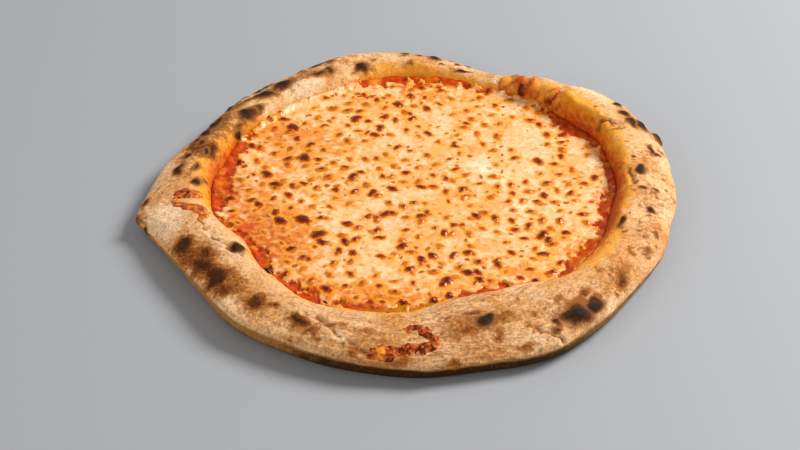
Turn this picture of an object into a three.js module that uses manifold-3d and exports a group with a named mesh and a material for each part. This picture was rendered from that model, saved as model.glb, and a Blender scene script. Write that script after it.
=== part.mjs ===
// Margherita pizza: a hand-stretched wheat crust with a puffed and blistered rim, a thin layer
// of tomato sauce on its floor, one melted sheet of mozzarella, and the browned bits on the rim.
// Millimetres, +Z up, origin at the middle of the flat underside. Angles are in degrees,
// counted from +X towards +Y. The near side of the pizza is -Y.

import * as THREE from 'three';
import { mergeVertices } from 'three/addons/utils/BufferGeometryUtils.js';
import Module from 'manifold-3d';

const wasm = await Module();
wasm.setup();

// ---- driving dimensions -------------------------------------------------------------------

const BASE_THICKNESS = 3.5;    // baked dough under the toppings
const UNDERCUT = 7;            // how far the rim overhangs the flat underside
const GAP = 0.35;              // clearance between two pieces that touch
const SAUCE_THICKNESS = 1.5;
const CHEESE_THICKNESS = 2.4;
const CHEESE_LIP = 0.9;        // thickness of the melted sheet at its edge
const BLISTER_WIDTH = 0.75;    // a cheese blister's width and rise, as shares of its half length
const BLISTER_RISE = 0.42;
const BLISTER_SINK = 0.4;      // how deep its middle sits in the sheet
const BLISTER_DEPTH = 0.3;     // and how far it reaches below its middle, as a share of its rise

const INNER_SIDE = 0.997;      // draws a support in, for bits on the slope that faces the middle
const OUTER_SIDE = 1.0012;     // lets a support out a little, for bits on the outer slope

const SEGMENTS = 120;          // steps round the pizza
const UNDERSIDE_STEPS = 3;     // steps from the flat underside out to the widest point
const OUTER_STEPS = 8;         // steps from the widest point up to the crest
const INNER_STEPS = 6;         // steps from the crest down to the floor
const SHEET_CELLS = 34;        // cells across the cheese sheet

// The rim was pressed out by hand, so its section changes all the way round. Each station
// gives the outer radius and the height of that widest edge, the crest's radius and height, and the
// radius of the inner foot.
const RIM = [
  { at: 5, outer: 160, edge: 9, crest: 136, height: 20, foot: 124 },
  { at: 24, outer: 166, edge: 9, crest: 142, height: 22, foot: 130 },
  { at: 40, outer: 162.5, edge: 9, crest: 143, height: 21, foot: 129 },
  { at: 55, outer: 154, edge: 8, crest: 140, height: 17, foot: 131 },
  { at: 67, outer: 147, edge: 7.5, crest: 136, height: 14, foot: 129 },
  { at: 78, outer: 154, edge: 7.5, crest: 140, height: 15, foot: 132 },
  { at: 92, outer: 158, edge: 8.5, crest: 145, height: 17, foot: 133 },
  { at: 106, outer: 160, edge: 9, crest: 144, height: 18, foot: 128 },
  { at: 119, outer: 153, edge: 9, crest: 133, height: 18, foot: 122 },
  { at: 135, outer: 147, edge: 9, crest: 127, height: 19, foot: 120 },
  { at: 152, outer: 143.5, edge: 9, crest: 126, height: 19, foot: 118 },
  { at: 167, outer: 148, edge: 9, crest: 129, height: 19, foot: 116 },
  { at: 180, outer: 155, edge: 9, crest: 132, height: 19, foot: 116 },
  { at: 188, outer: 159.5, edge: 8.5, crest: 130, height: 18, foot: 115 },
  { at: 196, outer: 152.5, edge: 10, crest: 124, height: 19, foot: 110 },
  { at: 209, outer: 146, edge: 12.5, crest: 118, height: 20, foot: 104 },
  { at: 228, outer: 150, edge: 13.5, crest: 124, height: 20, foot: 109 },
  { at: 250, outer: 154, edge: 12.5, crest: 132, height: 20, foot: 114 },
  { at: 268, outer: 156, edge: 10.5, crest: 127, height: 20, foot: 110 },
  { at: 286, outer: 158, edge: 10, crest: 118, height: 20, foot: 101 },
  { at: 300, outer: 160, edge: 10.5, crest: 122, height: 20, foot: 104 },
  { at: 314, outer: 157, edge: 11.5, crest: 133, height: 21, foot: 114 },
  { at: 328, outer: 154, edge: 10, crest: 134, height: 21, foot: 117 },
  { at: 346, outer: 156, edge: 9, crest: 133, height: 20, foot: 118 },
];

// Charred bubbles that stand out of the crust: where they sit across the rim (-1 at the foot,
// 0 on the crest, 1 at the widest point), and their half sizes along, across and upwards.
const CRUST_BUBBLES = [
  { at: 103, across: -0.4, along: 5.5, wide: 4.5, rise: 2 },
  { at: 126, across: 0.36, along: 7, wide: 5, rise: 2.4 },
  { at: 133, across: 0.25, along: 8, wide: 5, rise: 2.4 },
  { at: 142, across: -0.1, along: 8, wide: 4.5, rise: 1.8 },
  { at: 150, across: -0.8, along: 5, wide: 4, rise: 3 },
  { at: 154, across: 0.45, along: 12, wide: 4, rise: 1.6 },
  { at: 166, across: 0, along: 10, wide: 8, rise: 1.8 },
  { at: 175, across: 0.36, along: 6, wide: 4.5, rise: 1.8 },
  { at: 180, across: -0.37, along: 5, wide: 4, rise: 2.2 },
  { at: 189, across: 0.98, along: 6, wide: 3.5, rise: 4.5 },
  { at: 288, across: 0.38, along: 4.5, wide: 3.5, rise: 1.8 },
  { at: 302, across: 0.67, along: 3.5, wide: 3, rise: 1.8 },
  { at: 307, across: 0.76, along: 8, wide: 6, rise: 3.4 },
  { at: 311, across: 0.79, along: 4.5, wide: 3.5, rise: 2.4 },
  { at: 21, across: 0.97, along: 5.5, wide: 3, rise: 4 },
  { at: 28, across: -0.36, along: 4.5, wide: 3.5, rise: 2.4 },
];

// Width of the strip of sauce that shows between the cheese and the rim, station by station.
const SAUCE_STRIP = [
  { at: 0, width: 4 }, { at: 20, width: 2.2 }, { at: 38, width: 3 }, { at: 50, width: 2.2 },
  { at: 66, width: 2.6 }, { at: 78, width: 5 }, { at: 92, width: 4.5 }, { at: 104, width: 2.6 },
  { at: 120, width: 2.2 }, { at: 140, width: 2.2 }, { at: 155, width: 5 }, { at: 170, width: 9 },
  { at: 180, width: 8 }, { at: 192, width: 3 }, { at: 204, width: 3 }, { at: 220, width: 7 },
  { at: 240, width: 7 }, { at: 256, width: 9 }, { at: 275, width: 6 }, { at: 292, width: 6 },
  { at: 308, width: 4 }, { at: 322, width: 6 }, { at: 340, width: 3 },
];

// The largest blisters of the cheese: place in the sheet and half width.
const CHEESE_BLISTERS = [
  { x: -72, y: 74, size: 6 }, { x: -84, y: 30, size: 5 }, { x: -77, y: -15, size: 5 },
  { x: -60, y: 44, size: 4.5 }, { x: -62, y: 20, size: 4 }, { x: -63, y: -24, size: 4 },
  { x: -52, y: -42, size: 5 }, { x: -51, y: -77, size: 5.5 }, { x: -36, y: -42, size: 4.5 },
  { x: -5, y: 96, size: 5 }, { x: -14, y: 78, size: 5 }, { x: -34, y: 26, size: 5 },
  { x: -11, y: 18, size: 5 }, { x: 36, y: 18, size: 4.5 }, { x: 56, y: -12, size: 5 },
  { x: 31, y: -18, size: 5 }, { x: 24, y: -60, size: 5.5 }, { x: 10, y: -47, size: 4.5 },
  { x: 44, y: -54, size: 5.5 }, { x: 86, y: 44, size: 5 }, { x: 89, y: -27, size: 4.5 },
  { x: 102, y: 50, size: 5 }, { x: 56, y: 88, size: 4 }, { x: 90, y: -48, size: 5 },
];

// Browned cheese that ran onto the rim, as low mounds that melt into one another.
const RIM_CHEESE_LARGE = [
  { at: 58, across: -0.78, along: 10, wide: 5.5, rise: 6 },
  { at: 58.5, across: -0.25, along: 8.5, wide: 6, rise: 4 },
];
const RIM_CHEESE_SMALL = [
  { at: 48, across: -0.78, along: 5.5, wide: 5, rise: 5.5 },
  { at: 47.5, across: -0.4, along: 5, wide: 5.5, rise: 4 },
];
const RIM_DRIP_UPPER = [
  { at: 183.5, across: 0.1, along: 3.6, wide: 5, rise: 2.4 },
  { at: 184, across: -0.25, along: 4, wide: 5.5, rise: 2.4 },
  { at: 184.5, across: -0.55, along: 3.6, wide: 4.5, rise: 2.8 },
];
const RIM_DRIP_LOWER = [
  { at: 188.6, across: 0.15, along: 4.2, wide: 5, rise: 2.4 },
  { at: 189.2, across: -0.15, along: 5, wide: 6, rise: 2.6 },
  { at: 190, across: -0.5, along: 4.2, wide: 5, rise: 2.8 },
];

// The burnt streak is a hooked run of browned cheese: its middle line over the outer slope, and
// the round section that stands out of the slope by its rise.
const STREAK_LINE = [
  { at: 262.6, across: 0.75 }, { at: 266, across: 0.77 }, { at: 270, across: 0.72 },
  { at: 274, across: 0.72 }, { at: 277, across: 0.66 }, { at: 277, across: 0.5 },
  { at: 275, across: 0.36 }, { at: 271.6, across: 0.26 },
];
const STREAK_SECTION = 4.6;
const STREAK_RISE = 1.9;
const STREAK_STEPS = 18;

// ---- the shape of the crust ---------------------------------------------------------------

const radians = (degrees) => degrees * Math.PI / 180;
const wave = (degrees, count, phase) => Math.sin(count * radians(degrees) + phase);

// A smooth closed curve through the values of one property at the stations.
function roundTheRim(stations, property, angle) {
  const count = stations.length;
  const wrapped = ((angle % 360) + 360) % 360;
  let after = stations.findIndex((station) => station.at > wrapped);
  if (after < 0) after = count;
  const knot = (index) => {
    const turn = Math.floor(index / count);
    const station = stations[index - turn * count];
    return { at: station.at + 360 * turn, value: station[property] };
  };
  const [before, start, end, beyond] = [-2, -1, 0, 1].map((offset) => knot(after + offset));
  const span = end.at - start.at;
  const t = (wrapped - start.at) / span;
  const startSlope = (end.value - before.value) / (end.at - before.at) * span;
  const endSlope = (beyond.value - start.value) / (beyond.at - start.at) * span;
  return (2 * t ** 3 - 3 * t ** 2 + 1) * start.value + (t ** 3 - 2 * t ** 2 + t) * startSlope
    + (3 * t ** 2 - 2 * t ** 3) * end.value + (t ** 3 - t ** 2) * endSlope;
}

// The rim's section at one angle, with the small unevenness of hand-shaped dough.
function rimAt(angle) {
  return {
    outer: roundTheRim(RIM, 'outer', angle) + 0.6 * wave(angle, 11, 0.5) + 0.4 * wave(angle, 17, 2),
    edge: roundTheRim(RIM, 'edge', angle),
    crest: roundTheRim(RIM, 'crest', angle) + 0.8 * wave(angle, 9, 1),
    height: roundTheRim(RIM, 'height', angle) + 0.7 * wave(angle, 7, 2) + 0.5 * wave(angle, 13, 0.7),
    foot: roundTheRim(RIM, 'foot', angle) + 0.8 * wave(angle, 15, 0.3),
  };
}

// A point of the rim's top: across runs from -1 at the foot, over 0 at the crest, to 1 at the
// widest point, and both sides of the section are quarter ellipses.
function rimPoint(angle, across) {
  const rim = rimAt(angle);
  const low = across < 0 ? BASE_THICKNESS : rim.edge;
  const reach = across < 0 ? rim.crest - rim.foot : rim.outer - rim.crest;
  const radius = rim.crest + reach * across;
  const z = low + (rim.height - low) * Math.sqrt(Math.max(0, 1 - across ** 2));
  return onAngle(angle, radius, z);
}

function onAngle(angle, radius, z) {
  return new THREE.Vector3(radius * Math.cos(radians(angle)), radius * Math.sin(radians(angle)), z);
}

// ---- solids -------------------------------------------------------------------------------

// Closed skin through rings of points, from the centre of the underside out, up and back in.
function skinGeometry(rings, bottomCentre, topCentre) {
  const points = [bottomCentre, ...rings.flat(), topCentre];
  const last = points.length - 1;
  const at = (ring, step) => 1 + ring * SEGMENTS + (step % SEGMENTS);
  const triangles = [];
  for (let step = 0; step < SEGMENTS; step++) {
    triangles.push(0, at(0, step + 1), at(0, step));
    triangles.push(last, at(rings.length - 1, step), at(rings.length - 1, step + 1));
    for (let ring = 0; ring + 1 < rings.length; ring++) {
      const corners = [at(ring, step), at(ring, step + 1), at(ring + 1, step + 1), at(ring + 1, step)];
      triangles.push(corners[0], corners[1], corners[2], corners[0], corners[2], corners[3]);
    }
  }
  return indexedGeometry(points, triangles);
}

function indexedGeometry(points, triangles) {
  const geometry = new THREE.BufferGeometry();
  geometry.setAttribute('position', new THREE.Float32BufferAttribute(points.flatMap((p) => p.toArray()), 3));
  geometry.setIndex(triangles);
  return geometry;
}

// One ring of points, each made by a function of its angle.
function ring(pointAt) {
  return Array.from({ length: SEGMENTS }, (_, step) => pointAt(360 * step / SEGMENTS));
}

function toSolid(geometry) {
  const bare = geometry.clone();
  bare.deleteAttribute('normal');
  bare.deleteAttribute('uv');
  const merged = mergeVertices(bare, 1e-4);
  return new wasm.Manifold(new wasm.Mesh({
    numProp: 3,
    vertProperties: new Float32Array(merged.attributes.position.array),
    triVerts: new Uint32Array(merged.index.array),
  }));
}

function toGeometry(solid) {
  const mesh = solid.getMesh();
  const geometry = new THREE.BufferGeometry();
  geometry.setAttribute('position', new THREE.BufferAttribute(new Float32Array(mesh.vertProperties), 3));
  geometry.setIndex(Array.from(mesh.triVerts));
  geometry.computeVertexNormals();
  return geometry;
}

// A bubble or mound: a ball stretched along the rim, across it and upwards, and shallower below
// its middle by the given share.
function ball(centre, angle, along, wide, rise, depth = 1) {
  const geometry = new THREE.IcosahedronGeometry(1, 1);
  const position = geometry.attributes.position;
  for (let index = 0; index < position.count; index++) {
    if (position.getZ(index) < 0) position.setZ(index, depth * position.getZ(index));
  }
  geometry.scale(wide, along, rise);
  geometry.rotateZ(radians(angle));
  geometry.translate(centre.x, centre.y, centre.z);
  return toSolid(geometry);
}

function joined(solids) {
  return solids.reduce((whole, solid) => whole.add(solid));
}

// ---- crust: dough floor, overhanging rim and its charred bubbles ---------------------------

function crustSolid() {
  const rings = [ring((angle) => onAngle(angle, rimAt(angle).outer - UNDERCUT, 0))];
  for (let step = 1; step < UNDERSIDE_STEPS; step++) {
    const turn = Math.PI / 2 * step / UNDERSIDE_STEPS;
    rings.push(ring((angle) => onAngle(
      angle, rimAt(angle).outer - UNDERCUT * (1 - Math.sin(turn)), rimAt(angle).edge * (1 - Math.cos(turn)))));
  }
  for (let step = 0; step <= OUTER_STEPS; step++) {
    const across = Math.cos(Math.PI / 2 * step / OUTER_STEPS);
    rings.push(ring((angle) => rimPoint(angle, across)));
  }
  for (let step = 1; step <= INNER_STEPS; step++) {
    const across = -Math.sin(Math.PI / 2 * step / INNER_STEPS);
    rings.push(ring((angle) => rimPoint(angle, across)));
  }
  const dough = toSolid(skinGeometry(
    rings, new THREE.Vector3(0, 0, 0), new THREE.Vector3(0, 0, BASE_THICKNESS)));
  const bubbles = CRUST_BUBBLES.map((bubble) => ball(
    rimPoint(bubble.at, bubble.across), bubble.at, bubble.along, bubble.wide, bubble.rise));
  return joined([dough, ...bubbles]);
}

// ---- tomato sauce: a thin disc that runs right through, out to the foot of the rim ---------

function sauceSolid() {
  const bottom = BASE_THICKNESS + GAP;
  const edge = (angle) => rimAt(angle).foot - GAP;
  const rings = [
    ring((angle) => onAngle(angle, edge(angle), bottom)),
    ring((angle) => onAngle(angle, edge(angle), bottom + SAUCE_THICKNESS)),
  ];
  return toSolid(skinGeometry(
    rings, new THREE.Vector3(0, 0, bottom), new THREE.Vector3(0, 0, bottom + SAUCE_THICKNESS)));
}

// ---- mozzarella: one melted sheet with a lobed edge, soft waves and raised blisters --------

function cheeseEdge(angle) {
  const strip = roundTheRim(SAUCE_STRIP, 'width', angle);
  const lobes = 1.6 * wave(angle, 13, 0.4) + 1.3 * wave(angle, 22, 1.9) + 1.6 * wave(angle, 8, 2.6);
  return rimAt(angle).foot - strip + Math.min(lobes, strip - 1);
}

// Height of the sheet's top above its underside; share runs from 0 at its middle to 1 at its edge.
function cheeseThickness(x, y, share) {
  const waves = 0.35 * Math.sin(x / 17 + 0.8) * Math.cos(y / 21 + 0.4)
    + 0.3 * Math.sin((x + y) / 11 + 2) + 0.2 * Math.cos((x - 2 * y) / 15);
  const body = (CHEESE_THICKNESS - CHEESE_LIP) * Math.min(1, 8 * (1 - share));
  return CHEESE_LIP + body + waves * Math.min(1, 5 * (1 - share));
}

function cheeseSolid() {
  const bottom = BASE_THICKNESS + SAUCE_THICKNESS + 2 * GAP;
  const side = SHEET_CELLS + 1;
  const points = [];
  for (let row = 0; row < side; row++) {
    for (let column = 0; column < side; column++) {
      // A square grid bent into a disc, so the cells stay about as large all over the sheet.
      const u = 2 * column / SHEET_CELLS - 1;
      const v = 2 * row / SHEET_CELLS - 1;
      const share = Math.max(Math.abs(u), Math.abs(v));
      const turn = Math.abs(u) >= Math.abs(v)
        ? (u === 0 ? 0 : (u > 0 ? 0 : 180) + 45 * v / u)
        : (v > 0 ? 90 : 270) - 45 * u / v;
      const point = onAngle(turn, share * cheeseEdge(turn), 0);
      point.z = bottom + cheeseThickness(point.x, point.y, share);
      points.push(point);
    }
  }
  const at = (row, column) => row * side + column;
  const triangles = [];
  for (let row = 0; row < SHEET_CELLS; row++) {
    for (let column = 0; column < SHEET_CELLS; column++) {
      triangles.push(at(row, column), at(row, column + 1), at(row + 1, column + 1));
      triangles.push(at(row, column), at(row + 1, column + 1), at(row + 1, column));
    }
  }
  const outline = [];
  for (let step = 0; step < SHEET_CELLS; step++) outline.push(at(0, step));
  for (let step = 0; step < SHEET_CELLS; step++) outline.push(at(step, SHEET_CELLS));
  for (let step = 0; step < SHEET_CELLS; step++) outline.push(at(SHEET_CELLS, SHEET_CELLS - step));
  for (let step = 0; step < SHEET_CELLS; step++) outline.push(at(SHEET_CELLS - step, 0));
  const underneath = outline.map((index) => points.push(points[index].clone().setZ(bottom)) - 1);
  const centre = points.push(new THREE.Vector3(0, 0, bottom)) - 1;
  outline.forEach((upper, step) => {
    const next = (step + 1) % outline.length;
    triangles.push(underneath[step], underneath[next], outline[next]);
    triangles.push(underneath[step], outline[next], upper);
    triangles.push(centre, underneath[next], underneath[step]);
  });
  const sheet = toSolid(indexedGeometry(points, triangles));
  const blisters = CHEESE_BLISTERS.map(({ x, y, size }) => {
    const angle = THREE.MathUtils.radToDeg(Math.atan2(y, x));
    const share = Math.hypot(x, y) / cheeseEdge(angle);
    const middle = new THREE.Vector3(x, y, bottom + cheeseThickness(x, y, share) - BLISTER_SINK);
    return ball(middle, 90, size, BLISTER_WIDTH * size, BLISTER_RISE * size, BLISTER_DEPTH);
  });
  return joined([sheet, ...blisters]);
}

// ---- browned bits on the rim --------------------------------------------------------------

// A bit is cut to the shape of what it lies on with a small clearance: the support is lifted,
// and drawn in or let out, before it is taken away. What is left inside the support is dropped.
function restingOn(bit, supports, spread) {
  const cut = supports.reduce((rest, support) => rest.subtract(
    support.scale([spread, spread, 1]).translate([0, 0, GAP])), bit);
  const [largest] = cut.decompose().sort((one, other) => other.volume() - one.volume());
  return largest;
}

function moundSolid(mounds, supports) {
  const balls = mounds.map(({ at, across, along, wide, rise }) => ball(
    rimPoint(at, across), at, along, wide, rise));
  return restingOn(joined(balls), supports, INNER_SIDE);
}

function streakSolid(crust) {
  const line = STREAK_LINE.map(({ at, across }) => {
    const point = rimPoint(at, across);
    point.z -= STREAK_SECTION - STREAK_RISE;
    return point;
  });
  const section = new THREE.Shape().absarc(0, 0, STREAK_SECTION, 0, 2 * Math.PI);
  const run = new THREE.ExtrudeGeometry(section, {
    extrudePath: new THREE.CatmullRomCurve3(line), steps: STREAK_STEPS, curveSegments: 5,
    bevelEnabled: false,
  });
  const ends = [line[0], line.at(-1)].map((end) => ball(
    end, 0, STREAK_SECTION, STREAK_SECTION, STREAK_SECTION));
  return restingOn(joined([toSolid(run), ...ends]), [crust], OUTER_SIDE);
}

// ---- the pizza ----------------------------------------------------------------------------

const pizza = new THREE.Group();

function addPiece(name, solid, colour, roughness) {
  const material = new THREE.MeshStandardMaterial({ color: colour, roughness, metalness: 0 });
  const mesh = new THREE.Mesh(toGeometry(solid), material);
  mesh.name = name;
  pizza.add(mesh);
}

const crust = crustSolid();
const sauce = sauceSolid();
const mozzarella = cheeseSolid();

addPiece('crust', crust, 0xdcb27a, 0.8);
addPiece('tomato_sauce', sauce, 0xc8401a, 0.35);
addPiece('mozzarella', mozzarella, 0xf2cf94, 0.4);
addPiece('rim_cheese_large', moundSolid(RIM_CHEESE_LARGE, [crust, mozzarella]), 0xb5651f, 0.45);
addPiece('rim_cheese_small', moundSolid(RIM_CHEESE_SMALL, [crust, mozzarella]), 0xb5651f, 0.45);
addPiece('rim_drip_upper', moundSolid(RIM_DRIP_UPPER, [crust]), 0xb0561c, 0.45);
addPiece('rim_drip_lower', moundSolid(RIM_DRIP_LOWER, [crust]), 0xb0561c, 0.45);
addPiece('burnt_cheese_streak', streakSolid(crust), 0xa84a18, 0.5);

export default pizza;
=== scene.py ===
"""Margherita pizza in Blender: a hand-stretched, oven-blistered crust, tomato sauce, one melted
sheet of mozzarella and the browned cheese that ran onto the rim. Sizes are in millimetres, angles
in degrees counted from +X towards +Y, and the near side of the pizza is -Y."""

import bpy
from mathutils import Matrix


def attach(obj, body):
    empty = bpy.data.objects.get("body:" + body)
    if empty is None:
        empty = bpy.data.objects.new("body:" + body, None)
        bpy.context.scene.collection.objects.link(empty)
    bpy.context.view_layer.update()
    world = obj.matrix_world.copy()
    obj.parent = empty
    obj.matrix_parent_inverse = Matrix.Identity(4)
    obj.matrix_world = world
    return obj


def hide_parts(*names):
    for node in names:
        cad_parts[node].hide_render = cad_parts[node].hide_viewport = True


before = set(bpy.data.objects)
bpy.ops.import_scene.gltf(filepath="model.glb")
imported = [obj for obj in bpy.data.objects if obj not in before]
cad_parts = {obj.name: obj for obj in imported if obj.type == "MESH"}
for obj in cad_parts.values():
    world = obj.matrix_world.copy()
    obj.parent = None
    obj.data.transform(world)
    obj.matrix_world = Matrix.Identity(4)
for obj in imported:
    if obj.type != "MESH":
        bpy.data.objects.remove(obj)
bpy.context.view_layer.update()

import math

import bpy
import numpy as np
from mathutils import Vector

MM = 0.001
scene = bpy.context.scene


# ---- studio ----------------------------------------------------------------------------------
# A plain pale grey table top, matt, under one large soft lamp low on the right and a dim even
# room. The camera looks down on the near side as from a chair beside the table.

CAMERA_PLACE = (-2, -814, 595.8)
CAMERA_AIM = (-4.5, -17.5, 0)
CAMERA_LENS = 76.2
# Turn, height in degrees, distance, size and power of the window lamp and of the white wall
# opposite, that throws a little of its light back low over the table.
LAMPS = {"window_lamp": (23, 41, 1900, 850, 56), "pale_wall": (222, 22, 1900, 1100, 13)}
ROOM_LIGHT, ROOM_WHITE = 0.40, "FFFFFF"
TABLE_SIZE = 6000
TABLE_GREY = "959698"


def linear(shade):
    """An sRGB hex colour as the linear colour that a socket takes."""
    channels = [int(shade[start:start + 2], 16) / 255 for start in (0, 2, 4)]
    return [c / 12.92 if c <= 0.04045 else ((c + 0.055) / 1.055) ** 2.4 for c in channels] + [1]


def node(tree, kind, inputs=None, out=0, **settings):
    """Adds one node with its settings, gives each input a value or a link, and returns one output."""
    made = tree.nodes.new(kind)
    for name, value in settings.items():
        setattr(made, name, value)
    for name, value in (inputs or {}).items():
        if isinstance(value, bpy.types.NodeSocket):
            tree.links.new(value, made.inputs[name])
        else:
            made.inputs[name].default_value = value
    return made.outputs[out] if made.outputs else made


def new_material(name):
    material = bpy.data.materials.new(name)
    material.use_nodes = True
    material.node_tree.nodes.clear()
    return material, material.node_tree


def on_angle(angle, radius, z):
    """Points in millimetres from angles, radii and heights."""
    turn = np.radians(angle)
    return np.stack(np.broadcast_arrays(radius * np.cos(turn), radius * np.sin(turn), z), -1)


camera = bpy.data.objects.new("camera", bpy.data.cameras.new("camera"))
scene.collection.objects.link(camera)
camera.location = Vector(CAMERA_PLACE) * MM
camera.rotation_euler = (Vector(CAMERA_AIM) - Vector(CAMERA_PLACE)).to_track_quat("-Z", "Y").to_euler()
camera.data.lens = CAMERA_LENS
camera.data.clip_end = 50
scene.camera = camera

for name, (turn, level, distance, size, power) in LAMPS.items():
    lamp = bpy.data.objects.new(name, bpy.data.lights.new(name, "AREA"))
    scene.collection.objects.link(lamp)
    level = math.radians(level)
    lamp.location = Vector(on_angle(turn, distance * math.cos(level), distance * math.sin(level))) * MM
    lamp.rotation_euler = (-lamp.location).to_track_quat("-Z", "Y").to_euler()
    lamp.data.shape = "DISK"
    lamp.data.size = size * MM
    lamp.data.energy = power

scene.world = bpy.data.worlds.new("room")
scene.world.use_nodes = True
scene.world.node_tree.nodes["Background"].inputs["Color"].default_value = linear(ROOM_WHITE)
scene.world.node_tree.nodes["Background"].inputs["Strength"].default_value = ROOM_LIGHT
scene.view_settings.view_transform = "Standard"

table_mesh = bpy.data.meshes.new("table_top")
half = TABLE_SIZE * MM / 2
table_mesh.from_pydata([(-half, -half, 0), (half, -half, 0), (half, half, 0), (-half, half, 0)], [],
                       [(0, 1, 2, 3)])
table_top = bpy.data.objects.new("table_top", table_mesh)
scene.collection.objects.link(table_top)
laminate, tree = new_material("matt_laminate")
surface = node(tree, "ShaderNodeBsdfPrincipled", {
    "Base Color": linear(TABLE_GREY), "Roughness": 0.6})
node(tree, "ShaderNodeOutputMaterial", {"Surface": surface})
table_mesh.materials.append(laminate)


# ---- crust -----------------------------------------------------------------------------------
# Wheat dough pressed out by hand and baked on hot stone: a thin floor and a puffed rim that
# overhangs its flat underside. The skin is matt and floury, tan where it dried, oil-stained on
# the inner slope, with soft scorched clouds, raised black blisters, folds and fine wrinkles.

BASE_THICKNESS = 3.5
UNDERCUT = 7
EDGE_CRISPNESS = 0.60   # 0.5 rounds the widest edge fully, more folds it to a line
SKIN_ALLOWANCE = 0.5    # the rough skin is drawn in by this much, to stay within the solid's box
CEILING = 21.4          # no swelling stands much higher than this

# Angle, outer radius, radius and height of the crest, radius of the inner foot, and height of
# the widest edge.
RIM = [
    (5, 160, 136, 20, 124, 9), (24, 166, 142, 22, 130, 9), (40, 162.5, 143, 21, 129, 9),
    (55, 154, 140, 17, 131, 8), (67, 147, 136, 14, 129, 7.5), (78, 154, 140, 15, 132, 7.5),
    (92, 158, 145, 17, 133, 8.5), (106, 160, 144, 18, 128, 9), (119, 153, 133, 18, 122, 9),
    (135, 147, 127, 19, 120, 9), (152, 143.5, 126, 19, 118, 9), (167, 148, 129, 19, 116, 9),
    (180, 155, 132, 19, 116, 9), (188, 159.5, 130, 18, 115, 8.5), (196, 152.5, 124, 19, 110, 10),
    (209, 146, 118, 20, 104, 12.5), (228, 150, 124, 20, 109, 13.5), (250, 154, 132, 20, 114, 12.5),
    (268, 156, 127, 20, 110, 10.5), (286, 158, 118, 20, 101, 10), (300, 160, 122, 20, 104, 10.5),
    (314, 157, 133, 21, 114, 11.5), (328, 154, 134, 21, 117, 10), (346, 156, 133, 20, 118, 9),
]

# Unevenness of hand-shaped dough in each column of the stations: how far it strays, in how many
# waves round the rim, and where they start.
UNEVENNESS = {1: [(0.6, 11, 0.5), (0.4, 17, 2)], 2: [(0.8, 9, 1)], 3: [(0.7, 7, 2), (0.5, 13, 0.7)],
              4: [(0.8, 15, 0.3)], 5: []}

# Burnt places of the rim: angle, place across it (-1 foot, 0 crest, 1 widest edge), half sizes
# along and across, how far they stand out, and how dark they are.
BLISTERS_ON_RIM = [
    (90.5, 0.6, 3, 3, 0.5, 0.8), (91, 0.08, 2.2, 1.6, 0.4, 0.7), (83, 0.36, 4.5, 2.6, 0.8, 1),
    (87, 0.26, 2.4, 2, 0.4, 0.85), (75, -0.08, 5, 2, 0.6, 0.95), (77, 0.49, 2.5, 2.5, 0.5, 0.8),
    (81, -0.14, 2.5, 1.5, 0.3, 0.65), (99, -0.23, 3, 1.5, 0.4, 0.6), (89, -0.49, 3, 1.5, 0.3, 0.55),
    (103, -0.41, 4.5, 3.4, 1.6, 1), (110, 0.39, 4, 3.5, 0.5, 0.65), (113, 0.72, 8, 4, 0.6, 0.95),
    (112, -0.06, 3.5, 2.5, 0.5, 0.75), (115.5, -0.1, 6, 3, 0.6, 0.8), (118, 0.5, 3, 2, 0.3, 0.6),
    (126, 0.36, 8.5, 5, 2, 1), (133, 0.25, 8.5, 5, 2, 1), (138, 0.56, 8, 3, 0.5, 0.75),
    (144, -0.02, 7.5, 4.2, 1.4, 0.9), (139, -0.36, 5, 3, 0.8, 0.7), (149, -0.53, 4, 2.4, 0.5, 0.65),
    (151, -0.79, 4, 3.2, 1.8, 1), (152, 0.55, 8, 3.8, 0.8, 0.95), (157, 0.5, 7, 3.6, 0.8, 0.92),
    (160.5, 0.5, 4, 2.6, 0.6, 0.85), (168, 0.26, 3, 2.4, 0.5, 0.95), (166, -0.3, 3, 2, 0.5, 0.9),
    (172, -0.25, 3, 2, 0.4, 0.75), (163, 0.1, 3, 3, 0.5, 0.75), (174, 0.37, 5, 3, 1.2, 0.95),
    (179, -0.37, 4, 2.6, 1.2, 0.9), (177, -0.74, 2, 2, 0.3, 0.6), (185, 0.85, 2, 3, 0.5, 0.75),
    (190, 0.98, 4, 2.6, 2.6, 0.6), (193, 1.0, 2, 2, 1, 0.9), (214, -0.2, 4.8, 3.2, 1, 1),
    (288, 0.4, 5.2, 3.6, 1.7, 1), (286, 0.22, 5.5, 2.4, 0.4, 0.72), (302, 0.67, 3, 2.6, 1, 0.9),
    (307, 0.76, 9, 5.8, 2.8, 1), (311.5, 0.79, 4.6, 3.6, 1.6, 0.95), (301, 0.83, 2, 2, 0.3, 0.7),
    (338, -0.02, 2, 1.5, 0.3, 0.6), (349, 0.44, 2.6, 2.4, 0.8, 1), (357, 0.15, 2.4, 2.2, 0.4, 0.75),
    (357, 0.47, 2.2, 1.8, 0.3, 0.7), (343, -0.25, 5, 2, 0.6, 0.9), (341, 0.75, 2, 1.6, 0.3, 0.6),
    (335, 0.7, 2.6, 2, 0.3, 0.6), (4, 0.04, 3.2, 2.6, 0.8, 1), (10, -0.02, 1.8, 1.6, 0.3, 0.75),
    (13, 0.57, 4.6, 2.2, 0.6, 1), (12, 0.66, 2.4, 2, 0.4, 0.8), (20.5, 0.97, 6, 3.4, 2.8, 1),
    (23, 0.7, 5.5, 3.6, 0.8, 0.95), (25, 0.52, 5, 3, 0.7, 0.95), (28, 0.5, 5, 3, 0.7, 1),
    (33, 0.63, 3, 2, 0.6, 1), (25, -0.16, 2, 1.6, 0.2, 0.55), (22, -0.24, 2, 1.6, 0.2, 0.55),
]
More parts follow.
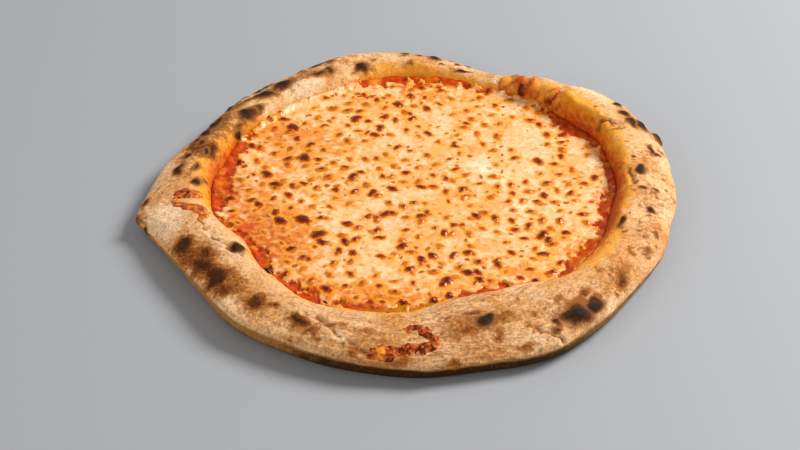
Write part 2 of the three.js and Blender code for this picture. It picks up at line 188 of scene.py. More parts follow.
# Soft scorched clouds, with no relief: angle, place, half sizes, strength.
CLOUDS_ON_RIM = [
    (140, 0.6, 14, 4, 0.8), (154, 0.5, 18, 5, 0.85), (165, 0.05, 10, 8, 0.75), (116, 0.1, 16, 8, 0.4),
    (125, 0.4, 22, 8, 0.35), (179, 0.38, 8, 7, 0.3), (187, 0.45, 7, 7, 0.3), (204, 0.62, 5, 4, 0.7),
    (206, 0.8, 7.5, 6, 0.97), (211, 0.43, 3.6, 3.4, 0.7), (214, 0.74, 7.5, 6, 1.01),
    (219, 0.62, 7, 6, 1.06), (221.5, 0.66, 5, 7.5, 0.97), (225, 0.74, 5, 5.5, 0.79),
    (212, 0.58, 14, 11, 0.5), (223, 0.3, 7, 4, 0.4), (228, 0.47, 8, 6, 0.5),
    (234, 0.52, 6.5, 6.5, 1.01), (233, 0.3, 4, 4, 0.5), (238, 0.22, 4.2, 2.6, 0.97),
    (244.5, 0.34, 6, 4, 0.8), (247, 0.45, 5.5, 4.6, 0.84), (249.5, 0.56, 4.6, 4.4, 0.79),
    (252, 0.3, 5, 2, 0.7), (255, 0.22, 5, 2.4, 0.5), (261, 0.36, 5, 3, 0.45), (246, 0.93, 5, 3, 0.35),
    (251, 0.78, 4, 3, 0.35), (259, 0.87, 4.5, 2.6, 0.7), (269, 0.93, 4, 2.4, 0.55),
    (279, 0.95, 6, 3, 0.65), (283, 0.5, 5, 3, 0.55), (289, 0.7, 2.6, 3.4, 0.65),
    (294, 0.88, 6, 3.6, 0.6), (293, 0.38, 9, 4, 0.5), (297, 0.2, 5, 1.4, 0.55),
    (299, 0.49, 4, 1.6, 0.5), (297, 0.67, 2.4, 2.4, 0.5), (307, 0.6, 9, 5, 0.4),
    (312, 0.39, 5, 2.6, 0.7), (308, 0.55, 4, 2.4, 0.65), (307, 0.3, 5, 2, 0.5),
    (314, 0.62, 3, 2.6, 0.8), (318, 0.83, 2.4, 2.6, 0.5), (322, 0.72, 6, 5, 0.95),
    (326, 0.5, 7, 6, 0.4), (332, 0.28, 3.4, 3, 0.6), (335, 0.7, 4, 3.6, 0.5), (341, 0.75, 4, 3, 0.4),
    (28, 0.55, 16, 5, 0.5), (12, 0.3, 10, 5, 0.25), (91, 0.5, 20, 6, 0.3), (78, 0.1, 14, 5, 0.3),
    (150, -0.55, 7, 4, 0.45), (141, -0.3, 10, 4, 0.55), (104, -0.3, 7, 4, 0.4), (283, 0.5, 24, 13, 0.5),
    (262, 0.5, 20, 12, 0.34), (302, 0.4, 20, 8, 0.3), (352, 0.55, 26, 14, 0.26),
    (340, 0.5, 16, 10, 0.26), (8, 0.5, 16, 10, 0.2), (222, 0.62, 24, 12, 0.3), (163.5, 0.2, 5, 6, 0.95),
    (164.5, -0.35, 5, 4, 1), (171.8, -0.19, 3, 2.6, 1), (149, 0.5, 8, 6, 0.6),
    (144.5, -0.16, 7, 5, 0.7), (152, 0.1, 8, 6, 0.5), (158, -0.1, 6, 5, 0.4), (176, 0.0, 6, 6, 0.4),
    (170, 0.35, 8, 5, 0.45), (156, -0.5, 7, 4, 0.3), (270, 0.85, 16, 4, 0.3), (209, 0.75, 20, 10, 0.25),
    (240, 0.6, 20, 10, 0.2), (318, 0.6, 20, 10, 0.22), (288, 0.9, 16, 5, 0.3),
]
# Where flour was left on it, or it stayed pale, and, in the spots along the widest edge on the near side, a
# pale band that is painted highlight: angle, place, half sizes, strength.
FLOUR_AND_EDGE_HIGHLIGHT = [
    (193, 0.6, 20, 14, 0.9), (203, 0.1, 12, 8, 0.6), (228, 0.9, 16, 6, 0.5), (242, 0.75, 12, 8, 0.5),
    (256, 0.6, 8, 6, 0.6), (270, 1.0, 14, 4, 0.5), (296, 0.85, 8, 7, 0.6), (315, 0.95, 10, 5, 0.7),
    (333, 0.6, 10, 10, 0.3), (352, 0.8, 14, 10, 0.6), (8, 0.75, 12, 8, 0.6), (40, 0.3, 14, 6, 0.8),
    (122, -0.5, 20, 10, 0.9), (136, -0.7, 8, 5, 0.6), (100, 0.3, 12, 6, 0.5), (65, -0.5, 6, 8, 0.6),
    (172, 0.75, 10, 6, 0.7), (75, 0.5, 20, 6, 0.5), (216, 0.05, 12, 5, 0.6),
]
# Big soft swellings of the dough, most of them on the inner slope: angle, place, half sizes, rise.
SWELLINGS = [
    (52, -0.35, 12, 10, 2.2), (39, -0.5, 13, 12, 3.4), (30, -0.15, 5, 5, 1.6), (19, -0.5, 17, 10, 3.0),
    (6, -0.6, 14, 8, 1.8), (88, -0.5, 18, 9, 1.5), (163, -0.3, 14, 10, 1.5), (118, -0.5, 10, 9, 1.5),
    (196, 0.1, 16, 16, 1.2), (232, 0.3, 20, 14, 1.2), (291, 0.35, 18, 14, 1.6), (318, 0.3, 18, 14, 1.2),
]
# Folds pressed into the dough: the places they run through, their half width and depth.
FOLDS = [
    ([(249, 0.1), (252, 0.3), (255, 0.55), (259, 0.74), (263, 0.9)], 1.8, 1.0),
    ([(240, 0.2), (244, 0.35), (248, 0.6)], 1.1, 0.5),
    ([(261, 0.14), (268, 0.07), (276, 0.14), (283, 0.2)], 1.0, 0.6),
    ([(263, 0.3), (270, 0.22), (277, 0.26)], 0.9, 0.4),
    ([(283, 0.3), (288, 0.2), (295, 0.1), (303, 0.07)], 1.1, 0.7),
    ([(279, 0.44), (285, 0.4), (291, 0.46), (296, 0.6), (299, 0.78), (301, 0.95)], 1.5, 1.1),
    ([(278, 0.6), (285, 0.72), (291, 0.8)], 1.2, 0.6),
    ([(295, 0.3), (302, 0.25), (309, 0.3)], 1.0, 0.5),
    ([(195, -0.1), (201, 0.1), (207, 0.16), (214, 0.02)], 1.8, 1.0),
    ([(207, 0.3), (214, 0.36), (222, 0.34)], 1.2, 0.4),
    ([(28, -0.8), (28.5, -0.5), (27, -0.2), (22, 0.02)], 2.2, 1.8),
    ([(46, -0.75), (45, -0.4), (43, -0.1)], 2.0, 1.2),
    ([(9, -0.7), (5, -0.35), (359, -0.15)], 1.8, 1.0),
    ([(100, -0.7), (103, -0.3), (108, 0.0)], 2.0, 0.8),
    ([(148, -0.7), (147, -0.3), (142, 0.0)], 2.0, 0.8),
]
# How far the oil and the sauce climb the inner slope at each angle, as shares of it.
OIL_REACH = [
    (0, 0.95), (10, 1.0), (20, 0.95), (30, 1.0), (40, 1.1), (50, 0.95), (60, 0.7), (72, 0.65),
    (88, 0.65), (98, 0.55), (104, 0.35), (112, 0.1), (122, 0.0), (132, 0.05), (140, 0.4), (148, 0.8),
    (158, 0.95), (168, 1.0), (177, 0.9), (184, 0.75), (191, 0.4), (200, 0.2), (212, 0.35), (225, 0.5),
    (240, 0.5), (255, 0.55), (268, 0.7), (280, 0.5), (292, 0.2), (304, 0.35), (315, 0.7), (322, 0.95),
    (330, 1.0), (340, 0.9), (350, 0.95),
]
SAUCE_REACH = [
    (0, 0.45), (10, 0.35), (20, 0.26), (30, 0.32), (40, 0.28), (50, 0.05), (60, -0.04), (70, -0.06),
    (80, -0.04), (90, -0.06), (98, -0.06), (105, 0.0), (115, -0.15), (130, -0.15), (145, -0.05),
    (152, 0.15), (160, 0.26), (170, 0.32), (178, 0.24), (186, 0.0), (196, -0.1), (210, 0.05),
    (225, 0.2), (240, 0.1), (255, 0.15), (268, -0.1), (280, -0.15), (292, 0.05), (305, 0.05),
    (318, 0.1), (328, 0.3), (338, 0.5), (349, 0.55),
]
# How wrinkled the skin is: strongly along the near side, hardly at the far side.
WRINKLES = [(0, 0.35), (60, 0.2), (120, 0.3), (180, 0.35), (235, 0.5), (258, 0.9), (290, 1), (315, 0.6)]
# Painted shade on the side below the widest edge, where the overhang shades it: strongest along the near
# side, faint elsewhere.
SIDE_SHADE = [(0, 0.1), (200, 0.1), (236, 0.25), (256, 0.9), (284, 1), (300, 0.7), (320, 0.1)]
FRECKLE_COUNT = 150     # pinhead burnt spots strewn over the rim, two in three about its right side
FRECKLE_MIDDLE, FRECKLE_SPREAD = 345, 38
FAR_MARK_COUNT = 22     # small burnt marks on the outer slope of the far side
STREWING_SEED = 11

AROUND = 1200
UNDERSIDE_SHARES = (0.12, 0.45, 0.8)
UNDERCUT_RINGS, OUTER_RINGS, INNER_RINGS = 7, 34, 24
GRAIN_RADIUS = 140      # radius at which the grain is measured round the rim
USUAL_DRAW = 1.6
BLISTER_FULLNESS = 0.8  # 0.5 makes a blister half a ball, 1 a dome with soft shoulders
CHAR_FADE, CLOUD_FADE = 0.66, 1.1   # how fast char and scorch fade past a spot's half size
FOLD_LIP, FOLD_LIP_AT = 0.4, 1.8    # the dough pushed up beside a fold, as shares of depth and width
LUMP_SIZE, LUMP_HEIGHT = 24, 0.8
PIMPLE_SIZE, PIMPLE_HEIGHT = 7, 0.32
WRINKLE_LENGTH, WRINKLE_WIDTH, WRINKLE_DEPTH = 26, 3.4, 0.6


def round_the_rim(stations, column, angle):
    """A smooth closed curve through one column of the stations, read at the given angles."""
    stations = np.array(stations, float)
    at = np.concatenate([stations[-2:, 0] - 360, stations[:, 0], stations[:2, 0] + 360])
    value = np.concatenate([stations[-2:, column], stations[:, column], stations[:2, column]])
    slope = (value[2:] - value[:-2]) / (at[2:] - at[:-2])
    at, value = at[1:-1], value[1:-1]
    angle = np.mod(angle, 360)
    start = np.clip(np.searchsorted(at, angle, side="right") - 1, 0, len(at) - 2)
    span = at[start + 1] - at[start]
    t = (angle - at[start]) / span
    return ((2 * t**3 - 3 * t**2 + 1) * value[start] + (t**3 - 2 * t**2 + t) * span * slope[start]
            + (3 * t**2 - 2 * t**3) * value[start + 1] + (t**3 - t**2) * span * slope[start + 1])


def rim_at(angle):
    """Outer radius, crest radius and height, foot radius and edge height, with their unevenness."""
    columns = []
    for column, waves in UNEVENNESS.items():
        value = round_the_rim(RIM, column, angle)
        for stray, count, start in waves:
            value = value + stray * np.sin(count * np.radians(angle) + start)
        columns.append(value)
    outer, crest, height, foot, edge = columns
    return outer - SKIN_ALLOWANCE, crest, height - SKIN_ALLOWANCE, foot, edge


def rim_point(angle, across):
    """Points of the rim's top: across is -1 at the foot, 0 on the crest and 1 at the widest edge."""
    outer, crest, height, foot, edge = rim_at(angle)
    inside = np.asarray(across) < 0
    low = np.where(inside, BASE_THICKNESS, edge)
    radius = crest + np.where(inside, crest - foot, outer - crest) * across
    roundness = np.where(inside, 0.5, EDGE_CRISPNESS)
    z = low + (height - low) * np.maximum(0, 1 - np.square(across)) ** roundness
    return on_angle(angle, radius, z)


def wander(points, reach=1.1, seed=4):
    """Swirls points about a little, so that the outlines of spots measured on them are uneven.
    A draw of three normal values is about USUAL_DRAW long."""
    swirl = np.random.default_rng(seed)
    moved = np.array(points, float)
    for wavelength, share in ((26, 1.0), (15, 0.7), (8, 0.4), (4.5, 0.2)):
        waves = swirl.normal(size=(3, 3)) * 2 * math.pi / wavelength / USUAL_DRAW
        moved += reach * share * np.sin(np.asarray(points) @ waves + swirl.uniform(0, 6.3, 3))
    return moved


def distance_to_spot(strayed, angle, across, along, wide):
    """How far swirled points lie from a spot on the rim: 0 at its middle, 1 on its outline."""
    turn = math.radians(angle)
    offset = strayed - wander(rim_point(angle, across))
    run = offset @ np.array([-math.sin(turn), math.cos(turn), 0])
    rest = np.maximum((offset**2).sum(-1) - run**2, 0)
    return np.sqrt((run / along) ** 2 + rest / wide**2)


def distance_to_line(points, line):
    """How far swirled points lie from a line that runs through places on the rim."""
    places = [wander(rim_point(angle, across)) for angle, across in line]
    nearest = np.full(points.shape[:-1], np.inf)
    for start, end in zip(places, places[1:]):
        span = end - start
        share = np.clip((points - start) @ span / (span @ span), 0, 1)
        nearest = np.minimum(nearest, np.linalg.norm(points - start - share[..., None] * span, axis=-1))
    return nearest


def smooth(value, low, high):
    """0 up to low, 1 from high on, and a soft step between them, in either direction."""
    t = np.clip((value - low) / (high - low), 0, 1)
    return t * t * (3 - 2 * t)


def closed_skin(name, rings, fields):
    """A closed skin through rings of points (rings, around, xyz), from the middle of the underside
    out, up and back in to the middle of the top. Each field holds a value for each point."""
    count, around = rings.shape[:2]

    def with_poles(values):
        flat = values.reshape(count * around, -1)
        return np.concatenate([values[:1].reshape(around, -1).mean(0)[None], flat,
                               values[-1:].reshape(around, -1).mean(0)[None]])

    step = np.arange(around)
    after = (step + 1) % around
    row = 1 + around * np.arange(count - 1)[:, None]
    quads = np.stack([row + step, row + after, row + around + after, row + around + step], -1)
    top = 1 + around * (count - 1)
    low_fan = np.stack([np.zeros_like(step), 1 + after, 1 + step], -1)
    high_fan = np.stack([np.full_like(step, top + around), top + step, top + after], -1)
    faces = quads.reshape(-1, 4).tolist() + low_fan.tolist() + high_fan.tolist()
    return new_piece(name, with_poles(rings), faces, {key: with_poles(v) for key, v in fields.items()})


def new_piece(name, points, faces, fields):
    """A mesh object from points in millimetres, with its fields stored as attributes."""
    mesh = bpy.data.meshes.new(name)
    mesh.from_pydata((points * MM).tolist(), [], faces)
    for key, values in fields.items():
        values = np.asarray(values, np.float32).reshape(len(points), -1)
        kind, slot = ("FLOAT_VECTOR", "vector") if values.shape[1] == 3 else ("FLOAT", "value")
        mesh.attributes.new(key, kind, "POINT").data.foreach_set(slot, values.ravel())
    mesh.shade_smooth()
    piece = bpy.data.objects.new(name, mesh)
    scene.collection.objects.link(piece)
    return piece


def new_tree(name, inputs):
    """A Geometry Nodes tree with named inputs, and its input node."""
    tree = bpy.data.node_groups.new(name, "GeometryNodeTree")
    tree.interface.new_socket("Geometry", in_out="INPUT", socket_type="NodeSocketGeometry")
    tree.interface.new_socket("Geometry", in_out="OUTPUT", socket_type="NodeSocketGeometry")
    for label, kind in inputs.items():
        tree.interface.new_socket(label, in_out="INPUT", socket_type=kind)
    return tree, tree.nodes.new("NodeGroupInput").outputs


def finish_tree(tree, geometry, material):
    """Ends a tree: plain geometry in one material goes to its output."""
    real = node(tree, "GeometryNodeRealizeInstances", {"Geometry": geometry})
    covered = node(tree, "GeometryNodeSetMaterial", {"Geometry": real, "Material": material})
    node(tree, "NodeGroupOutput", {"Geometry": covered})


def run_tree(piece, tree, values):
    """Runs a tree on a piece once, with its inputs given by name, and keeps the plain mesh."""
    modifier = piece.modifiers.new(tree.name, "NODES")
    modifier.node_group = tree
    for item in tree.interface.items_tree:
        if item.name in values:
            modifier[item.identifier] = values[item.name]
    depsgraph = bpy.context.evaluated_depsgraph_get()
    mesh = bpy.data.meshes.new_from_object(
        piece.evaluated_get(depsgraph), preserve_all_data_layers=True, depsgraph=depsgraph)
    piece.modifiers.clear()
    piece.data = mesh


angle = np.arange(AROUND) * 360 / AROUND
outer, crest, height, foot, edge = rim_at(angle)
rings, places = [], []
for share in UNDERSIDE_SHARES:
    rings.append(on_angle(angle, share * (outer - UNDERCUT), 0 * angle))
    places.append(3 - share)
for turn in np.linspace(0, math.pi / 2, UNDERCUT_RINGS, endpoint=False):
    rings.append(on_angle(angle, outer - UNDERCUT * (1 - math.sin(turn)),
                          edge * (1 - math.cos(turn))))
    places.append(2 - turn / (math.pi / 2))
for turn in np.linspace(0, math.pi / 2, OUTER_RINGS, endpoint=False):
    rings.append(rim_point(angle, math.cos(turn)))
    places.append(math.cos(turn))
for turn in np.linspace(0, math.pi / 2, INNER_RINGS):
    rings.append(rim_point(angle, -math.sin(turn)))
    places.append(-math.sin(turn))
for share in UNDERSIDE_SHARES[::-1]:
    rings.append(on_angle(angle, share * foot, BASE_THICKNESS + 0 * angle))
    places.append(-2 + share)
rings = np.array(rings)
across = np.array(places)[:, None] + 0 * angle

# The grain is a frame that follows the rim: round it, and by the length of its section across it.
arc = np.cumsum(np.linalg.norm(np.diff(rings, axis=0, prepend=rings[:1]), axis=-1), axis=0)
radius = np.linalg.norm(rings[..., :2], axis=-1)
grain_radius = GRAIN_RADIUS * np.where(across > 2, radius / (outer - UNDERCUT),
                                       np.where(across < -1, radius / foot, 1))
grain = on_angle(angle, grain_radius, arc) * MM

# Skin directions, for what stands out of the skin or is pressed into it.
round_step = np.roll(rings, -1, 1) - np.roll(rings, 1, 1)
across_step = np.gradient(rings, axis=0)
outward = np.cross(round_step, across_step)
outward /= np.linalg.norm(outward, axis=-1, keepdims=True) + 1e-9

rng = np.random.default_rng(STREWING_SEED)
freckles = [(rng.normal(FRECKLE_MIDDLE, FRECKLE_SPREAD) if index % 3 else rng.uniform(0, 360),
             rng.uniform(-0.2, 1), rng.uniform(1.0, 2.2), rng.uniform(0.8, 1.6), rng.uniform(0.1, 0.3),
             rng.uniform(0.22, 0.6)) for index in range(FRECKLE_COUNT)]
far_marks = [(rng.uniform(30, 150), rng.uniform(0.75, 1), rng.uniform(2, 6), rng.uniform(2, 3.5),
              rng.uniform(0.3, 1), rng.uniform(0.6, 1)) for _ in range(FAR_MARK_COUNT)]
relief = np.zeros(rings.shape[:2])
char = np.zeros(rings.shape[:2])
on_top = across <= 1.6
strayed = wander(rings)
swell = np.zeros(rings.shape[:2])
for at, place, along, wide, rise in SWELLINGS:
    spot = distance_to_spot(strayed, at, place, along, wide)
    swell = np.maximum(swell, rise * np.exp(-spot**2) * smooth(across, -1, -0.45) * (across <= 1))
for at, place, along, wide, rise, dark in BLISTERS_ON_RIM + freckles + far_marks:
    spot = distance_to_spot(strayed, at, place, along, wide)
    relief = np.maximum(relief, rise * np.maximum(0, 1 - spot**2) ** BLISTER_FULLNESS * on_top)
    char = np.maximum(char, dark * np.exp(-CHAR_FADE * spot**2) * on_top)
scorch = np.zeros(rings.shape[:2])
for at, place, along, wide, strength in CLOUDS_ON_RIM:
    spot = distance_to_spot(strayed, at, place, along, wide)
    scorch = scorch + strength * np.exp(-CLOUD_FADE * spot**2) * on_top * (1 - 0.5 * scorch)
flour_and_highlight = np.zeros(rings.shape[:2])
for at, place, along, wide, strength in FLOUR_AND_EDGE_HIGHLIGHT:
    spot = distance_to_spot(strayed, at, place, along, wide)
    flour_and_highlight = 1 - (1 - flour_and_highlight) * (1 - strength * np.exp(-spot**2) * on_top)
# Along each fold the skin is also darkened: painted shade in the fold.
painted_fold_shade = np.zeros(rings.shape[:2])
for line, wide, depth in FOLDS:
    gap = distance_to_line(strayed, line) / wide
    painted_fold_shade = np.maximum(painted_fold_shade, min(1, depth) * np.exp(-gap**2) * on_top)
    groove = FOLD_LIP * np.exp(-(gap - FOLD_LIP_AT) ** 2) - np.exp(-gap**2)
    relief += depth * groove * smooth(across, -1, -0.85) * on_top
relief += swell
slope_share = np.where((across < 0) & (across >= -1), across + 1, 9)
soft = smooth(across, -1, -0.8) * (1 - smooth(across, 0.9, 1.9))
fields = {
    "grain": grain, "across": across, "char": char, "scorch": scorch, "soft": soft, "flour_and_highlight": flour_and_highlight,
    "painted_fold_shade": painted_fold_shade,
    "oil": round_the_rim(OIL_REACH, 1, angle) - slope_share,
    "stain": round_the_rim(SAUCE_REACH, 1, angle) - slope_share,
    "wrinkled": round_the_rim(WRINKLES, 1, angle) * soft,
    # The side below the widest edge gets painted shade, set by angle.
    "painted_side_shade": round_the_rim(SIDE_SHADE, 1, angle) * smooth(across, 1, 1.15) * (across < 2.2),
}
shaped = rings + outward * relief[..., None]
# What rises past the ceiling is flattened softly to half a millimetre above it.
over_top = np.maximum(shaped[..., 2] - CEILING, 0)
shaped[..., 2] -= over_top - 0.5 * np.tanh(2 * over_top)
crust = closed_skin("crust_dough", shaped, fields)

# Low relief of the dough: broad lumps, pimples, and wrinkles drawn out round the rim.
relief_tree, given = new_tree("dough_relief", {
    "Lump size": "NodeSocketFloat", "Lump height": "NodeSocketFloat",
    "Pimple size": "NodeSocketFloat", "Pimple height": "NodeSocketFloat",
    "Wrinkle length": "NodeSocketFloat", "Wrinkle width": "NodeSocketFloat",
    "Wrinkle depth": "NodeSocketFloat", "Dough": "NodeSocketMaterial"})
grain_field = node(relief_tree, "GeometryNodeInputNamedAttribute", {"Name": "grain"},
                   data_type="FLOAT_VECTOR")
soft_field = node(relief_tree, "GeometryNodeInputNamedAttribute", {"Name": "soft"})
wrinkled_field = node(relief_tree, "GeometryNodeInputNamedAttribute", {"Name": "wrinkled"})
ratio = node(relief_tree, "ShaderNodeMath", {0: given["Wrinkle length"], 1: given["Wrinkle width"]},
             operation="DIVIDE")
stretch = node(relief_tree, "ShaderNodeCombineXYZ", {0: 1.0, 1: 1.0, 2: ratio})
drawn_out = node(relief_tree, "ShaderNodeVectorMath", {0: grain_field, 1: stretch}, operation="MULTIPLY")
total = None
for place, size, rise, mask in ((grain_field, "Lump size", "Lump height", soft_field),
                                (grain_field, "Pimple size", "Pimple height", soft_field),
                                (drawn_out, "Wrinkle length", "Wrinkle depth", wrinkled_field)):
    scale = node(relief_tree, "ShaderNodeMath", {0: 1.0, 1: given[size]}, operation="DIVIDE")
    noise = node(relief_tree, "ShaderNodeTexNoise", {"Vector": place, "Scale": scale, "Detail": 2.0})
    if total is None:
        lumps = noise
    centred = node(relief_tree, "ShaderNodeMapRange", {
        "Value": noise, "From Min": 0.25, "From Max": 0.75, "To Min": -1.0, "To Max": 1.0}, clamp=False)
    scaled = node(relief_tree, "ShaderNodeMath", {0: centred, 1: given[rise]}, operation="MULTIPLY")
    masked = node(relief_tree, "ShaderNodeMath", {0: scaled, 1: mask}, operation="MULTIPLY")
    total = masked if total is None else node(relief_tree, "ShaderNodeMath", {0: total, 1: masked})
skin_normal = node(relief_tree, "GeometryNodeInputNormal")
shift = node(relief_tree, "ShaderNodeVectorMath", {0: skin_normal, "Scale": total}, operation="SCALE")
moved = node(relief_tree, "GeometryNodeSetPosition", {"Geometry": given["Geometry"], "Offset": shift})
kept = node(relief_tree, "GeometryNodeStoreNamedAttribute", {
    "Geometry": moved, "Name": "lump", "Value": lumps}, domain="POINT")
finish_tree(relief_tree, kept, given["Dough"])


def roughened(tree, place, value, size, ragged, detail):
    """A value moved up and down by noise, so that a finish that starts at some level of it has a
    ragged edge with a grain of the given size."""
    noise = node(tree, "ShaderNodeTexNoise", {"Vector": place, "Scale": 1 / (size * MM), "Detail": detail})
    centred = node(tree, "ShaderNodeMath", {0: noise, 1: 0.5}, operation="SUBTRACT")
    return node(tree, "ShaderNodeMath", {0: centred, 1: 2 * ragged, 2: value}, operation="MULTIPLY_ADD")


# Baked wheat dough: a dry, matt crumb skin. Flour keeps it pale, heat turns it tan, brown and
# black, oil makes it golden and slightly glossy; painted shade darkens the side under the widest edge and the
# folds, and a painted highlight lightens the near widest edge. Each finish has the grain of its ragged edge.
dough, tree = new_material("baked_wheat_dough")
place = node(tree, "ShaderNodeTexCoord", out="Object")
along_rim = node(tree, "ShaderNodeAttribute", out="Vector", attribute_name="grain")
DOUGH_CREAM, DOUGH_TAN, DOUGH_STREAK = "E0B07E", "C88644", "7A4216"
STREAK_STRETCH = 5      # how much longer than wide the brown streaks between the wrinkles are
broad = node(tree, "ShaderNodeTexNoise", {"Vector": along_rim, "Scale": 1 / (22 * MM), "Detail": 4.0})
tan_share = node(tree, "ShaderNodeMapRange", {"Value": broad, "From Min": 0.38, "From Max": 0.72})
colour = node(tree, "ShaderNodeMix", {0: tan_share, 6: linear(DOUGH_CREAM), 7: linear(DOUGH_TAN)},
              out=2, data_type="RGBA")
roughness = node(tree, "ShaderNodeMapRange", {"Value": broad, "To Min": 0.7, "To Max": 0.8})
drawn_out = node(tree, "ShaderNodeVectorMath", {0: along_rim, 1: (1, 1, STREAK_STRETCH)},
                 operation="MULTIPLY")
streaks = node(tree, "ShaderNodeTexNoise", {"Vector": drawn_out, "Scale": 1 / (11 * MM), "Detail": 6.0,
                                            "Roughness": 0.7, "Distortion": 1.2})
wrinkled = node(tree, "ShaderNodeAttribute", out="Fac", attribute_name="wrinkled")
streaks = node(tree, "ShaderNodeMath", {0: wrinkled, 1: 0.16, 2: streaks}, operation="MULTIPLY_ADD")
mask = node(tree, "ShaderNodeMapRange", {"Value": streaks, "From Min": 0.60, "From Max": 0.80,
                                         "To Max": 0.75})
mask = node(tree, "ShaderNodeMath", {0: mask, 1: wrinkled}, operation="MULTIPLY")
colour = node(tree, "ShaderNodeMix", {0: mask, 6: colour, 7: linear(DOUGH_STREAK)}, out=2,
              data_type="RGBA")
# Field, grain of its edge in mm, raggedness, where it starts and is full, colour and roughness.
DOUGH_FINISHES = [
    ("lump", 5, 0.60, 0.50, 0.90, "C08040", 0.75),
    ("lump", 1.8, 0.80, 0.95, 1.25, "8A5424", 0.78),
    # Pale flour, and painted highlight along the widest edge of the near side.
    ("flour_and_highlight", 4, 0.60, 0.15, 0.90, "E8C298", 0.85),
    ("oil", 5, 0.60, -0.10, 0.36, "E49A38", 0.42),
    ("oil", 5, 0.60, 0.25, 0.90, "D68214", 0.34),
    ("lump", 2.2, 0.85, 0.80, 1.02, "965620", 0.6),
    ("stain", 4, 0.50, -0.20, 0.20, "D06A18", 0.36),
    ("stain", 3, 0.45, -0.02, 0.34, "B04008", 0.3),
    # Below the widest edge: a crisp darker line right under it and a darker band down the side, each partly
    # the side's baked colour and partly painted shade of the overhang; then the pale baked underside.
    ("across", 6, 0.02, 1.00, 1.06, "A4743C", 0.8),
    ("across", 9, 0.30, 1.30, 1.70, "6A4420", 0.8),
    ("across", 14, 0.40, 1.9, 2.1, "B98C54", 0.85),
    # Painted shade of the undercut side below the widest edge, darkest on the near side.
    ("painted_side_shade", 6, 0.30, 0.20, 0.90, "3E220E", 0.8),
    # Painted shade in the folds.
    ("painted_fold_shade", 2, 0.40, 0.45, 1.00, "8A5426", 0.8),
    ("scorch", 2.4, 0.60, 0.10, 0.60, "A0622A", 0.8),
    ("scorch", 1.7, 0.60, 0.42, 0.96, "6A3410", 0.8),
    ("scorch", 1.4, 0.50, 0.80, 1.20, "3A1C0A", 0.8),
    ("char", 2.6, 0.26, 0.04, 0.52, "8E5628", 0.8),
    ("char", 1.6, 0.24, 0.46, 0.72, "402214", 0.75),
    ("char", 1.4, 0.16, 0.72, 0.90, "1A1614", 0.68),
]
for field, size, ragged, start, full, shade, gloss in DOUGH_FINISHES:
    value = node(tree, "ShaderNodeAttribute", out="Fac", attribute_name=field)
    value = roughened(tree, place, value, size, ragged, 5.0)
    mask = node(tree, "ShaderNodeMapRange", {
        "Value": value, "From Min": start, "From Max": full}, interpolation_type="SMOOTHSTEP")
    colour = node(tree, "ShaderNodeMix", {0: mask, 6: colour, 7: linear(shade)}, out=2, data_type="RGBA")
    roughness = node(tree, "ShaderNodeMix", {0: mask, 2: roughness, 3: gloss})
fine = node(tree, "ShaderNodeTexNoise", {"Vector": place, "Scale": 1 / (1.6 * MM), "Detail": 6.0,
                                         "Roughness": 0.7})
oily = node(tree, "ShaderNodeAttribute", out="Fac", attribute_name="oil")
lowest = node(tree, "ShaderNodeMapRange", {"Value": oily, "From Max": 0.4, "To Min": 0.54, "To Max": 0.8})
highest = node(tree, "ShaderNodeMapRange", {"Value": oily, "From Max": 0.4, "To Min": 1.34, "To Max": 1.15})
darker = node(tree, "ShaderNodeMapRange", {"Value": fine, "From Min": 0.32, "From Max": 0.68,
                                           "To Min": lowest, "To Max": highest})
colour = node(tree, "ShaderNodeVectorMath", {0: colour, "Scale": darker}, operation="SCALE")
skin_bump = node(tree, "ShaderNodeBump", {"Height": fine, "Strength": 0.8, "Distance": 0.7 * MM})
surface = node(tree, "ShaderNodeBsdfPrincipled", {
    "Base Color": colour, "Roughness": roughness, "Specular IOR Level": 0.2,
    "Specular Tint": linear("FFC890"), "Normal": skin_bump})
node(tree, "ShaderNodeOutputMaterial", {"Surface": surface})

run_tree(crust, relief_tree, {
    "Lump size": LUMP_SIZE * MM, "Lump height": LUMP_HEIGHT * MM, "Pimple size": PIMPLE_SIZE * MM,
    "Pimple height": PIMPLE_HEIGHT * MM, "Wrinkle length": WRINKLE_LENGTH * MM,
    "Wrinkle width": WRINKLE_WIDTH * MM, "Wrinkle depth": WRINKLE_DEPTH * MM, "Dough": dough})
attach(crust, "root")
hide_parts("crust")


# ---- tomato sauce ----------------------------------------------------------------------------
# Crushed tomatoes spread by ladle over the dough, right out to the foot of the rim. It shows in
# a strip round the cheese, where it stands in wet lumps with oil floating between them.

SAUCE_BOTTOM = 3.85
SAUCE_TOP = 5.3
SAUCE_LUMP_SIZE, SAUCE_LUMP_HEIGHT = 6, 1.3
SAUCE_AROUND = 900
SAUCE_SHARES = [0.3, 0.6] + [round(0.72 + 0.01 * step, 3) for step in range(28)]
SAUCE_TUCK = 1.5        # how far its edge runs in under the skin of the rim
STRIP_RISE = 1.0        # how much higher it stands in the open strip round the cheese
MENISCUS_RISE = 2.0     # and how far it creeps up the foot of the rim
# Burnt bubbles of the sauce: place, half width, rise.
SAUCE_BUBBLES = [(-78, -73, 3.4, 2.2), (-97, -48, 2.4, 1.4), (-46, -98, 2.6, 1.2), (-101, 36, 2.6, 1.4)]

# Pools of golden oil: place, half widths, strength.
OIL_POOLS = [
    (8, -104, 26, 10, 1), (-88, -74, 10, 12, 0.7), (-30, -106, 20, 5, 0.6), (-106, -2, 6, 10, 0.4),
    (98, -62, 10, 10, 0.6), (60, -98, 14, 5, 0.5),
]


def stained(stains, points):
    """How strongly points are stained by soft patches."""
    left = np.ones(points.shape[:-1])
    for x, y, wide, deep, strength in stains:
        spot = ((points[..., 0] - x) / wide) ** 2 + ((points[..., 1] - y) / deep) ** 2
        left *= 1 - strength * np.exp(-spot)
    return 1 - left


